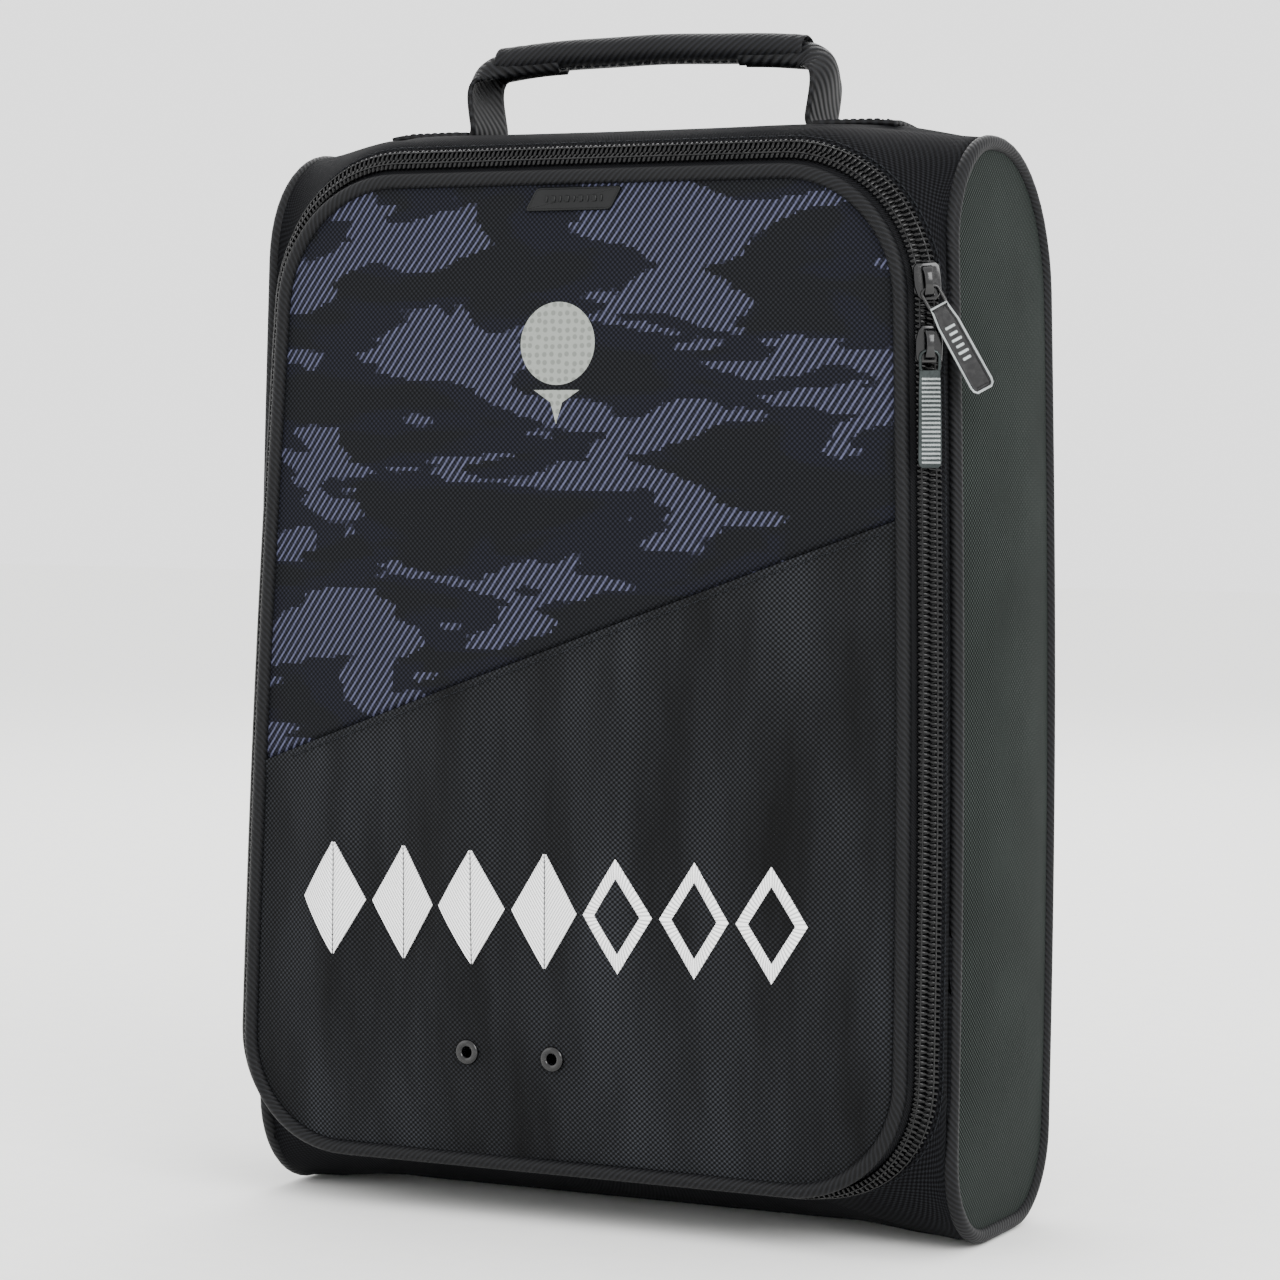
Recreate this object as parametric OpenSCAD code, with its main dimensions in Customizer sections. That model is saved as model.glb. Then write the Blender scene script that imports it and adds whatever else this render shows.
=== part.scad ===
// Golf shoe bag: a padded fabric box with a zipped D-shaped front door and a webbing handle.
// Frame: origin at the centre of the base, +Z up, the door faces -Y, +X is the viewer's right.

/* [Body] */
// Height of the body, without the handle
body_h = 360; // [300:5:430]
// Width across the two side pipings at the top
top_w = 252; // [210:1:310]
// Width across the two side pipings at the bottom
bottom_w = 260; // [210:1:320]
// Depth of the body from its front face to its back face
body_d = 96; // [80:1:140]
// Radius of the front top edge
front_top_r = 30; // [20:1:32]
// Radius of the back top edge
back_top_r = 40; // [28:1:42]
// Radius of the front bottom edge
front_bottom_r = 32; // [24:1:34]
// Radius of the back bottom edge
back_bottom_r = 30; // [24:1:34]

/* [Layers] */
// Thickness of the outer fabric with its backing
shell_t = 1.2; // [0.8:0.1:1.8]
// Thickness of the foam padding
foam_t = 3.6; // [2:0.1:6]
// Thickness of the lining fabric
lining_t = 0.6; // [0.4:0.1:1]
// Thickness of the stiffening board in the base
board_t = 2; // [1:0.1:4]
// Gap left between two sewn layers that lie on each other
layer_gap = 0.05; // [0.02:0.01:0.1]
// Radius of the covered piping cord
piping_r = 2.5; // [1.8:0.1:3]

/* [Door] */
// Radius of the door's top corners
door_top_r = 38; // [28:1:50]
// Radius of the door's bottom corners
door_bottom_r = 34; // [26:1:50]
// Distance from the top of the body down to the door's piping
door_top_drop = 15.5; // [15:0.5:24]
// Height of the door's piping above the base
door_bottom_z = 23; // [20:0.5:30]
// How far the door's piping stands in front of the body's front face
door_lift = 9; // [8:0.5:12]
// Thickness of the door's padding
door_foam_t = 4; // [2:0.1:5]
// Height of the slanting seam at the door's left edge, above the base
seam_left_z = 155; // [120:1:200]
// Height of the slanting seam at the door's right edge, above the base
seam_right_z = 236; // [180:1:260]

/* [Zip] */
// Slope of the zip strip, back from the plane of the door
strip_angle = 28; // [20:1:34]
// Distance along the strip from the door's piping to the middle of the zip
zip_mid = 11.4; // [10.5:0.1:12]
// Width of the closed coil
coil_w = 7.2; // [6:0.1:8]
// Height of the coil above its tape
coil_t = 2.4; // [1.8:0.1:3]
// Thickness of the zip tape
tape_t = 0.7; // [0.5:0.1:1]
// Width of the body's tape beyond the coil
tape_margin = 0.8; // [0.5:0.1:1.5]
// Gap between the two halves of the zip, where the slider's post runs
chain_gap = 1.4; // [1.2:0.1:1.8]
// Distance from the middle of the base to each end of the zip
zip_end_x = 68; // [40:1:72]

/* [Sliders] */
// Length of a slider
slider_l = 12; // [10:0.5:15]
// Width of a slider's outer plate
slider_w = 9.2; // [8.4:0.1:10]
// Thickness of a slider's plates
slider_plate_t = 1.2; // [0.8:0.1:1.6]
// Running clearance between a slider and the zip
slider_clear = 0.4; // [0.3:0.05:0.6]
// Gap between the noses of the two sliders
nose_gap = 7.5; // [7:0.1:12]
// Length of a pull
pull_l = 37; // [28:0.5:45]
// Width of a pull at its free end
pull_w = 7.4; // [6:0.1:9]
// Thickness of a pull
pull_t = 1.8; // [1.2:0.1:2.4]
// Sideways tilt of the upper pull
upper_pull_tilt = 24; // [22:0.5:28]

/* [Handle] */
// Distance between the feet of the handle's two legs
handle_span = 130; // [100:1:160]
// Height of the top of the grip above the body
handle_h = 38; // [32:0.5:60]
// Width of the webbing
webbing_w = 25; // [20:0.5:30]
// Thickness of the webbing
webbing_t = 2; // [1.4:0.1:3]
// Width of the webbing where it is folded inside the grip
webbing_fold_w = 6; // [4:0.1:7]
// Diameter of the grip
grip_d = 10; // [9:0.1:14]
// Length of the grip
grip_l = 116; // [80:1:140]
// Length of the webbing ends sewn to the top
tab_l = 32; // [20:1:36]

/* [Trim] */
// Height of the eyelets above the base
eyelet_z = 57; // [48:1:80]
// Position of the left eyelet across the door
eyelet_left_x = -31; // [-60:1:-20]
// Distance between the two eyelets
eyelet_pitch = 30; // [20:1:50]
// Radius of an eyelet's hole
eyelet_hole_r = 2.5; // [1.5:0.1:3]
// Width of an eyelet's rim
eyelet_rim = 1.7; // [1.2:0.1:2.5]
// Width of the rubber tag at its top
tag_w = 32; // [24:0.5:44]
// Height of the rubber tag
tag_h = 8; // [6:0.5:12]
// Height of the printed ball-and-tee emblem
emblem_h = 40; // [30:1:50]
// Half height of one embroidered diamond
diamond_h = 19; // [12:0.5:22]
// Number of embroidered diamonds in the row
diamond_count = 7; // [3:1:9]

/* [Hidden] */
$fn = 48;

// Steps along each rounded corner of a swept outline, and sides of a piping
corner_steps = 12;
piping_sides = 10;
big = 1000;
eps = 0.01;

front_y = -body_d / 2;
back_y = body_d / 2;
door_y = front_y - door_lift;
door_top_z = body_h - door_top_drop;
mid_half_w = (top_w + bottom_w) / 4;
function half_w(z) = (bottom_w + (top_w - bottom_w) * z / body_h) / 2;
side_lean = atan((bottom_w - top_w) / 2 / body_h);

// Strip across the zip: s runs outwards from the door's piping, h stands up from the strip
function strip(s, h) =
  [s * cos(strip_angle) + h * sin(strip_angle), s * sin(strip_angle) - h * cos(strip_angle)];
strip_end = zip_mid + coil_w / 2 + tape_margin;
side_gap = 1;
door_inset = strip(strip_end, tape_t / 2)[0] + piping_r + side_gap;
door_half_w = mid_half_w - door_inset;
panel_inset = piping_r + 0.2;
panel_y = door_y - 1;
foam_front_y = panel_y + shell_t;
door_lining_y = foam_front_y + door_foam_t;
door_back_y = door_lining_y + lining_t;

// Corners of the door's outline: centre x, centre z, radius, first angle. The door keeps
// its distance from the leaning sides, so its corners stand further apart at the bottom.
door_top_cz = door_top_z - door_top_r;
door_bottom_cz = door_bottom_z + door_bottom_r;
door_top_cx = half_w(door_top_cz) - door_inset - door_top_r;
door_bottom_cx = half_w(door_bottom_cz) - door_inset - door_bottom_r;
door_corners = [
  [door_top_cx, door_top_cz, door_top_r, 0],
  [-door_top_cx, door_top_cz, door_top_r, 90],
  [-door_bottom_cx, door_bottom_cz, door_bottom_r, 180],
  [door_bottom_cx, door_bottom_cz, door_bottom_r, 270]];
function on_corner(c, a, u) = [c[0] + (c[2] + u) * cos(a), c[1] + (c[2] + u) * sin(a)];
function corner_arc(c, u) = [for (i = [0:corner_steps]) on_corner(c, c[3] + 90 * i / corner_steps, u)];
// Outline of the door, moved outwards by u
function door_outline(u) = [for (c = door_corners) each corner_arc(c, u)];
// The same outline without the hinge at its bottom: it starts and ends at the zip's ends
function zip_outline(u) = concat([[zip_end_x, door_bottom_z - u]], corner_arc(door_corners[3], u),
  corner_arc(door_corners[0], u), corner_arc(door_corners[1], u), corner_arc(door_corners[2], u),
  [[-zip_end_x, door_bottom_z - u]]);

// The rounded edges leave a flat top for the webbing's ends and a flat base to stand on
top_flat = webbing_w + 1;
base_flat = 30;
top_round = min(1, (body_d - top_flat) / (front_top_r + back_top_r));
base_round = min(1, (body_d - base_flat) / (front_bottom_r + back_bottom_r));
r_front_top = front_top_r * top_round;
r_back_top = back_top_r * top_round;
r_front_bottom = front_bottom_r * base_round;
r_back_bottom = back_bottom_r * base_round;
// The handle stands in the middle of the flat top
handle_y = (front_y + r_front_top + back_y - r_back_top) / 2;
// Corners of the body's side profile: centre y, centre z, radius, first angle
profile_corners = [
  [back_y - r_back_top, body_h - r_back_top, r_back_top, 0],
  [front_y + r_front_top, body_h - r_front_top, r_front_top, 90],
  [front_y + r_front_bottom, r_front_bottom, r_front_bottom, 180],
  [back_y - r_back_bottom, r_back_bottom, r_back_bottom, 270]];
function profile_outline(u) = [for (c = profile_corners) for (i = [0:corner_steps])
  on_corner(c, c[3] + 90 * i / corner_steps, u)];

// Solid swept along a closed or open row of rings with the same number of points
module ring_sweep(rings, closed) {
  n = len(rings);
  m = len(rings[0]);
  last = closed ? n - 1 : n - 2;
  sides = [for (i = [0:last]) for (j = [0:m - 1])
    let (a = i * m, b = ((i + 1) % n) * m, k = (j + 1) % m)
    [a + j, b + j, b + k, a + k]];
  caps = closed ? [] : [[for (j = [0:m - 1]) j], [for (j = [m - 1:-1:0]) (n - 1) * m + j]];
  polyhedron([for (r = rings) each r], concat(sides, caps), convexity = 6);
}
// Sweep of a [u, v] section along the door's outline, in front of the body
module door_sweep(section) {
  rows = [for (p = section) door_outline(p[0])];
  ring_sweep([for (i = [0:len(rows[0]) - 1])
    [for (j = [0:len(section) - 1]) [rows[j][i][0], door_y + section[j][1], rows[j][i][1]]]], true);
}
module zip_sweep(section) {
  rows = [for (p = section) zip_outline(p[0])];
  ring_sweep([for (i = [0:len(rows[0]) - 1])
    [for (j = [0:len(section) - 1]) [rows[j][i][0], door_y + section[j][1], rows[j][i][1]]]], false);
}
// Section of the strip between two distances and two heights
function strip_section(s0, s1, h0, h1) = [strip(s0, h1), strip(s1, h1), strip(s1, h0), strip(s0, h0)];
function bead_section(r) = [for (j = [0:piping_sides - 1])
  [r * cos(-360 * j / piping_sides), r * sin(-360 * j / piping_sides)]];

// Side profile of the body with exact round corners, moved inwards by inset
module profile(inset) {
  polygon([for (c = profile_corners) for (a = [0, 90]) on_corner(c, c[3] + a, -inset)]);
  for (c = profile_corners)
    translate([c[0], c[1]]) circle(c[2] - inset);
}
module along_x(w) {
  rotate([90, 0, 90]) translate([0, 0, -w / 2]) linear_extrude(w) children();
}
module along_y(y0, y1) {
  translate([0, y1, 0]) rotate([90, 0, 0]) linear_extrude(y1 - y0) children();
}
// Everything between the two leaning sides, moved inwards by inset
module between_sides(inset) {
  z0 = -body_h;
  z1 = 2 * body_h;
  along_y(-big, big) polygon([[-half_w(z0) + inset, z0], [half_w(z0) - inset, z0],
    [half_w(z1) - inset, z1], [-half_w(z1) + inset, z1]]);
}
// Layer of the body that follows the side profile between two depths below its surface
module wrap_layer(outer, inner, side_inset) {
  intersection() {
    difference() {
      along_x(2 * bottom_w) profile(outer);
      along_x(3 * bottom_w) profile(inner);
    }
    between_sides(side_inset);
  }
}
module block(x0, x1, y0, y1, z0, z1) {
  translate([x0, y0, z0]) cube([x1 - x0, y1 - y0, z1 - z0]);
}

wrap_side_inset = piping_r + 0.1;
plate_inset = 2 * piping_r + 0.1;
frame_split_y = front_y + r_front_top;
top_split_z = body_h - r_back_top - 6;
bottom_split_z = r_back_bottom + 6;
opening_u = 12.2;
lip_t = 1.6;
lip_front_y = door_y + strip(strip_end, -tape_t / 2)[1] + 0.25;

module top_panel() {
  color("#1d1e20") intersection() {
    wrap_layer(0, shell_t, wrap_side_inset);
    block(-big, big, frame_split_y, big, top_split_z, big);
  }
}
module bottom_panel() {
  color("#1d1e20") intersection() {
    wrap_layer(0, shell_t, wrap_side_inset);
    block(-big, big, frame_split_y, big, -big, bottom_split_z);
  }
}
module back_panel() {
  color("#202124") intersection() {
    wrap_layer(0, shell_t, wrap_side_inset);
    block(-big, big, 0, big, bottom_split_z, top_split_z);
  }
}
// Front of the body round the door opening, with the folded lip that the zip is sewn to
module front_frame() {
  color("#1b1c1e") {
    difference() {
      intersection() {
        wrap_layer(0, shell_t, wrap_side_inset);
        block(-big, big, -big, frame_split_y, -big, big);
      }
      along_y(front_y - 1, frame_split_y + 1) polygon(door_outline(opening_u));
    }
    difference() {
      along_y(lip_front_y, frame_split_y) difference() {
        polygon(door_outline(opening_u + lip_t));
        polygon(door_outline(opening_u));
      }
      along_x(2 * bottom_w) profile(eps);
    }
  }
}

// One side lies in its own plane: children are drawn for x = 0 at mid height and leaned
module on_side(sign) {
  translate([sign * mid_half_w, 0, body_h / 2]) rotate([0, -sign * side_lean, 0])
    translate([0, 0, -body_h / 2]) children();
}
module side_plate(sign, x0, x1, inset) {
  on_side(sign) translate([sign * (x0 + x1) / 2, 0, 0]) along_x(x1 - x0) profile(inset);
}
module side_panel(sign) {
  color("#2c302f") side_plate(sign, -shell_t / 2, shell_t / 2, plate_inset);
}
module side_piping(sign) {
  section = bead_section(piping_r);
  color("#121214") ring_sweep([for (i = [0:len(profile_outline(0)) - 1])
    [for (p = section) let (q = profile_outline(p[0] - piping_r)[i])
      [sign * half_w(q[1]) + p[1] * sign, q[0], q[1]]]], true);
}
module side_panel_left() side_panel(-1);
module side_panel_right() side_panel(1);
module side_piping_left() side_piping(-1);
module side_piping_right() mirror([1, 0, 0]) side_piping(-1);

// Layers under the outer fabric, from the outside inwards
side_foam_out = shell_t / 2 + layer_gap;
side_foam_in = side_foam_out + foam_t;
side_lining_in = side_foam_in + layer_gap + lining_t;
foam_out = shell_t + layer_gap;
foam_in = foam_out + foam_t;
lining_out = foam_in + layer_gap;
lining_in = lining_out + lining_t;
inner_side_inset = side_lining_in + 0.4;
module wrap_padding() {
  color("#8d8f90") difference() {
    intersection() {
      wrap_layer(foam_out, foam_in, inner_side_inset);
      block(-big, big, frame_split_y + layer_gap, big, -big, big);
    }
    handle_reinforcement_block(layer_gap);
  }
}
module wrap_lining() {
  color("#3a3b3e") intersection() {
    wrap_layer(lining_out, lining_in, inner_side_inset);
    block(-big, big, frame_split_y + layer_gap, big, -big, big);
  }
}
module side_padding(sign) {
  color("#8d8f90") side_plate(sign, -side_foam_in, -side_foam_out, plate_inset);
}
module side_lining(sign) {
  color("#3a3b3e") side_plate(sign, -side_lining_in, -side_foam_in - layer_gap, plate_inset);
}
module side_padding_left() side_padding(-1);
module side_padding_right() side_padding(1);
module side_lining_left() side_lining(-1);
module side_lining_right() side_lining(1);

// Binding tape folded over the raw edges of each side seam, inside the bag. It leans with the
// side, so it stays clear of the lining by the height its inner edge turns through.
binding_w = 9;
binding_t = 0.8;
binding_inset = lining_in + layer_gap + (side_lining_in + layer_gap + binding_w) * abs(sin(side_lean));
module seam_binding(sign) {
  color("#17181a") difference() {
    side_plate(sign, -side_lining_in - layer_gap - binding_w, -side_lining_in - layer_gap,
      binding_inset);
    side_plate(sign, -side_lining_in - binding_w - 1, 1, binding_inset + binding_t);
    block(-big, big, -big, frame_split_y + layer_gap, -big, big);
  }
}
module seam_binding_left() seam_binding(-1);
module seam_binding_right() seam_binding(1);

board_y0 = front_y + r_front_bottom + 1;
board_y1 = back_y - r_back_bottom - 1;
board_z = binding_inset + binding_t + 2 * layer_gap;
board_side_gap = 14;
module base_board() {
  color("#26282a") block(-half_w(0) + board_side_gap, half_w(0) - board_side_gap,
    board_y0, board_y1, board_z, board_z + board_t);
}

// Strip of webbing inside the top that the handle's stitching goes through
reinforcement_t = 1.2;
reinforcement_w = handle_span + 2 * tab_l + 8;
module handle_reinforcement_block(grow) {
  z = body_h - shell_t - layer_gap;
  block(-reinforcement_w / 2 - grow, reinforcement_w / 2 + grow, handle_y - webbing_w / 2 - grow,
    handle_y + webbing_w / 2 + grow, z - reinforcement_t - grow, z + grow);
}
module handle_reinforcement() {
  color("#15161a") handle_reinforcement_block(0);
}

// Ends of the handle's webbing, turned outwards and sewn to the top of the body
fold_gap = 0.3;
module handle_tab(sign) {
  x0 = handle_span / 2 + fold_gap;
  color("#131316") block(min(sign * x0, sign * (x0 + tab_l)), max(sign * x0, sign * (x0 + tab_l)),
    handle_y - webbing_w / 2, handle_y + webbing_w / 2, body_h, body_h + webbing_t);
}
module handle_tab_left() handle_tab(-1);
module handle_tab_right() handle_tab(1);

door_half_end = zip_mid - chain_gap / 2;
body_half_start = zip_mid + chain_gap / 2;
tape_start = piping_r + 0.3;
module zip_tape_body() {
  color("#111114") zip_sweep(strip_section(body_half_start, strip_end, -tape_t / 2, tape_t / 2));
}
module zip_coil_body() {
  color("#0b0b0d") zip_sweep(strip_section(body_half_start, zip_mid + coil_w / 2,
    tape_t / 2 + eps, tape_t / 2 + coil_t));
}
module zip_tape_door() {
  color("#111114") zip_sweep(strip_section(tape_start, door_half_end, -tape_t / 2, tape_t / 2));
}
module zip_coil_door() {
  color("#0b0b0d") zip_sweep(strip_section(zip_mid - coil_w / 2, door_half_end,
    tape_t / 2 + eps, tape_t / 2 + coil_t));
}
// Plain band of fabric that joins the door to the body below the zip's ends
band_end_gap = 0.6;
module hinge_band() {
  x1 = zip_end_x - band_end_gap;
  s = strip_section(tape_start, strip_end, -tape_t / 2, tape_t / 2);
  color("#17181a") ring_sweep([for (x = [x1, -x1])
    [for (p = s) [x, door_y + p[1], door_bottom_z - p[0]]]], false);
}
// Patch of fabric folded over each end of the zip
patch_l = 10;
patch_t = 0.8;
module zip_end_patch(sign) {
  x0 = zip_end_x - patch_l - band_end_gap;
  s = strip_section(body_half_start, strip_end, tape_t / 2 + eps, tape_t / 2 + patch_t);
  xs = sign > 0 ? [x0 + patch_l, x0] : [-x0, -x0 - patch_l];
  color("#17181a") ring_sweep([for (x = xs)
    [for (p = s) [x, door_y + p[1], door_bottom_z - p[0]]]], false);
}
module zip_end_patch_left() zip_end_patch(-1);
module zip_end_patch_right() zip_end_patch(1);

// Region of the door above the slanting seam, moved up by gap
module above_seam(gap) {
  run = 2 * door_half_w;
  slope = (seam_right_z - seam_left_z) / run;
  mid = (seam_left_z + seam_right_z) / 2 + gap;
  polygon([[-run, mid - slope * run], [run, mid + slope * run], [run, big], [-run, big]]);
}
eyelet_shank_r = eyelet_hole_r + 0.35;
module eyelet_holes(r) {
  for (x = [eyelet_left_x, eyelet_left_x + eyelet_pitch])
    translate([x, 0, eyelet_z]) rotate([90, 0, 0]) cylinder(h = big, r = r, center = true);
}
module door_panel_upper() {
  color("#33343b") along_y(panel_y, foam_front_y) intersection() {
    polygon(door_outline(-panel_inset));
    above_seam(layer_gap);
  }
}
module door_panel_lower() {
  color("#1c1d1f") difference() {
    along_y(panel_y, foam_front_y) difference() {
      polygon(door_outline(-panel_inset));
      above_seam(0);
    }
    eyelet_holes(eyelet_shank_r + eps);
  }
}
foam_inset = panel_inset + 1;
module door_padding() {
  color("#8d8f90") difference() {
    along_y(foam_front_y + layer_gap, door_lining_y - layer_gap) polygon(door_outline(-foam_inset));
    eyelet_holes(eyelet_shank_r + eps);
  }
}
module door_lining() {
  color("#3a3b3e") difference() {
    along_y(door_lining_y, door_back_y) polygon(door_outline(-panel_inset));
    eyelet_holes(eyelet_shank_r + eps);
  }
}
module door_piping() {
  color("#121214") door_sweep(bead_section(piping_r));
}

eyelet_flange_t = 0.7;
module eyelet(x) {
  y0 = panel_y - eyelet_flange_t;
  color("#1a1a1c") translate([x, 0, eyelet_z]) rotate([90, 0, 0]) difference() {
    union() {
      translate([0, 0, -panel_y]) cylinder(h = eyelet_flange_t, r = eyelet_hole_r + eyelet_rim);
      translate([0, 0, -door_back_y - 0.6]) cylinder(h = door_back_y + 0.6 - y0, r = eyelet_shank_r);
    }
    translate([0, 0, -door_back_y - 2]) cylinder(h = door_back_y - y0 + 4, r = eyelet_hole_r);
  }
}
module eyelet_washer(x) {
  color("#1a1a1c") translate([x, 0, eyelet_z]) rotate([90, 0, 0])
    translate([0, 0, -door_back_y - 0.6]) difference() {
      cylinder(h = 0.6, r = eyelet_hole_r + eyelet_rim);
      translate([0, 0, -1]) cylinder(h = 3, r = eyelet_shank_r + eps);
    }
}
module eyelet_left() eyelet(eyelet_left_x);
module eyelet_right() eyelet(eyelet_left_x + eyelet_pitch);
module eyelet_washer_left() eyelet_washer(eyelet_left_x);
module eyelet_washer_right() eyelet_washer(eyelet_left_x + eyelet_pitch);

tag_t = 1.2;
tag_draft = 1.5;
tag_drop = 1.2;
module rubber_tag() {
  z1 = door_top_z - panel_inset - tag_drop;
  color("#202226") along_y(panel_y - tag_t, panel_y) polygon([[-tag_w / 2, z1], [tag_w / 2, z1],
    [tag_w / 2 - tag_draft, z1 - tag_h], [-tag_w / 2 + tag_draft, z1 - tag_h]]);
}
// Ball on a tee, a plain golf sign
print_t = 0.2;
emblem_x = -6;
emblem_top_drop = 38;
module emblem_print() {
  ball_r = emblem_h * 0.34;
  z = door_top_z - emblem_top_drop - ball_r;
  color("#9a9ba3") along_y(panel_y - print_t, panel_y) translate([emblem_x, z]) {
    circle(ball_r);
    polygon([[-ball_r * 0.62, -ball_r * 1.12], [ball_r * 0.62, -ball_r * 1.12],
      [ball_r * 0.16, -ball_r * 1.42], [0, ball_r - emblem_h], [-ball_r * 0.16, -ball_r * 1.42]]);
  }
}
// Row of argyle diamonds in satin stitch
stitch_t = 0.7;
diamond_w = 12.2;
diamond_pitch = 27;
diamond_z = 106;
diamond_x = -9;
module diamond_embroidery() {
  color("#e9e9e6") along_y(panel_y - stitch_t, panel_y)
    for (i = [0:diamond_count - 1])
      translate([diamond_x + (i - (diamond_count - 1) / 2) * diamond_pitch, diamond_z])
        polygon([[-diamond_w, 0], [0, -diamond_h], [diamond_w, 0], [0, diamond_h]]);
}

// A slider's own frame has its origin on the middle of the zip, x across the strip outwards,
// y along the zip and z standing out of the strip
zip_u = strip(zip_mid, 0);
module on_zip(x, z, turn) {
  translate([x, door_y + zip_u[1], z]) rotate([0, -turn, 0]) rotate([0, 0, strip_angle])
    rotate([90, 0, 0]) children();
}
// The lower slider is on the straight right-hand run, the upper one at the start of the corner
module on_right_run(z) {
  on_zip(half_w(z) - door_inset + zip_u[0], z, side_lean) children();
}
module on_top_corner(turn) {
  p = on_corner(door_corners[0], turn, zip_u[0]);
  on_zip(p[0], p[1], turn) children();
}
slider_upper_turn = asin((slider_l / 2 - 1) / (door_top_r + zip_u[0]));
slider_lower_z = door_top_cz + slider_l / 2 - 1 - slider_l - nose_gap;
plate_h = tape_t / 2 + coil_t + slider_clear;
plate_top = plate_h + slider_plate_t;
under_h = -tape_t / 2 - slider_clear;
under_w = 5.6;
post_clear = 0.32;
post_w = chain_gap - 2 * post_clear;
nose_w = slider_w * 0.72;
bridge_w = 2.4;
bridge_l = slider_l * 0.84;
bridge_rise = 3.6;
bridge_bar = 1.2;

// Slider with its nose towards local +y: two plates, a post between them and a bridge for the pull
module slider_solid() {
  color("#1b1b1e") {
    translate([0, 0, plate_h]) linear_extrude(slider_plate_t) polygon([
      [-slider_w / 2, -slider_l / 2], [slider_w / 2, -slider_l / 2],
      [slider_w / 2, slider_l * 0.1], [nose_w / 2, slider_l / 2],
      [-nose_w / 2, slider_l / 2], [-slider_w / 2, slider_l * 0.1]]);
    block(-under_w / 2, under_w / 2, -slider_l / 2, slider_l / 2, under_h - slider_plate_t, under_h);
    block(-post_w / 2, post_w / 2, slider_l * 0.05, slider_l * 0.3,
      under_h - slider_plate_t / 2, plate_h + slider_plate_t / 2);
    difference() {
      block(-bridge_w / 2, bridge_w / 2, -bridge_l / 2, bridge_l / 2,
        plate_h + slider_plate_t / 2, plate_top + bridge_rise);
      block(-bridge_w, bridge_w, -bridge_l / 2 + bridge_bar, bridge_l / 2 - bridge_bar,
        plate_top, plate_top + bridge_rise - bridge_bar);
    }
  }
}
// Pull that hangs towards local -y: its round end bar turns inside the bridge's window, at the origin
end_bar_r = 0.65;
eye_l = 4.5;
eye_w = 4.6;
eye_wall = 1.1;
eye_end = end_bar_r + eye_l;
shank_w = 5.6;
pull_recess = 0.4;
recess_rim = 1;
module pull_solid() {
  color("#232327") {
    rotate([0, 90, 0]) cylinder(h = eye_w + 2 * eye_wall, r = end_bar_r, center = true);
    for (side = [-1, 1])
      translate([side * (eye_w + eye_wall) / 2, -eye_end / 2, 0])
        cube([eye_wall, eye_end, 2 * end_bar_r], center = true);
    difference() {
      translate([0, 0, -pull_t / 2]) linear_extrude(pull_t) polygon([
        [-eye_w / 2 - eye_wall, -eye_end], [-shank_w / 2, -eye_end - 2.5],
        [-pull_w / 2, end_bar_r - pull_l + 3], [-pull_w / 2 + 1.2, end_bar_r - pull_l],
        [pull_w / 2 - 1.2, end_bar_r - pull_l], [pull_w / 2, end_bar_r - pull_l + 3],
        [shank_w / 2, -eye_end - 2.5], [eye_w / 2 + eye_wall, -eye_end]]);
      translate([-shank_w / 2 + recess_rim, end_bar_r - pull_l + 2, pull_t / 2 - pull_recess])
        cube([shank_w - 2 * recess_rim, pull_l * 0.62, 2 * pull_recess]);
    }
  }
}
pivot_y = -bridge_l / 2 + bridge_bar + 1.3;
pivot_h = plate_top + pull_t / 2 + 0.3;
module slider_upper() on_top_corner(slider_upper_turn) mirror([0, 1, 0]) slider_solid();
module slider_lower() on_right_run(slider_lower_z) slider_solid();
module pull_lower() on_right_run(slider_lower_z) translate([0, pivot_y, pivot_h]) pull_solid();
module pull_upper() on_top_corner(slider_upper_turn) translate([0, pivot_y, pivot_h])
  rotate([0, 0, upper_pull_tilt]) pull_solid();

// Handle: webbing legs that meet the sewn ends at the fold, and run on through the grip
grip_z = body_h + handle_h - grip_d / 2;
leg_lean = 4;
module webbing_outline() {
  x0 = handle_span / 2;
  x1 = grip_l / 2 + 1.5;
  z0 = body_h + webbing_t + fold_gap;
  polygon([[-x0, z0], [-x0 + webbing_t, z0], [-x1 + webbing_t + 1, grip_z - webbing_t / 2 - leg_lean],
    [-x1 + leg_lean + webbing_t, grip_z - webbing_t / 2], [x1 - leg_lean - webbing_t, grip_z - webbing_t / 2],
    [x1 - webbing_t - 1, grip_z - webbing_t / 2 - leg_lean], [x0 - webbing_t, z0], [x0, z0],
    [x1 + 1, grip_z - leg_lean], [x1 - leg_lean, grip_z + webbing_t / 2],
    [-x1 + leg_lean, grip_z + webbing_t / 2], [-x1 - 1, grip_z - leg_lean]]);
}
module handle_webbing() {
  color("#131316") difference() {
    along_y(handle_y - webbing_w / 2, handle_y + webbing_w / 2) webbing_outline();
    for (s = [-1, 1])
      translate([0, handle_y + s * (webbing_w / 2 + webbing_fold_w / 2), grip_z])
        cube([grip_l + 1, webbing_w, grip_d + 2], center = true);
  }
}
module grip_sleeve() {
  color("#1a1a1d") difference() {
    translate([0, handle_y, grip_z]) rotate([0, 90, 0]) cylinder(h = grip_l, d = grip_d, center = true);
    along_y(handle_y - webbing_fold_w / 2 - layer_gap, handle_y + webbing_fold_w / 2 + layer_gap)
      webbing_outline();
  }
}

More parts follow.
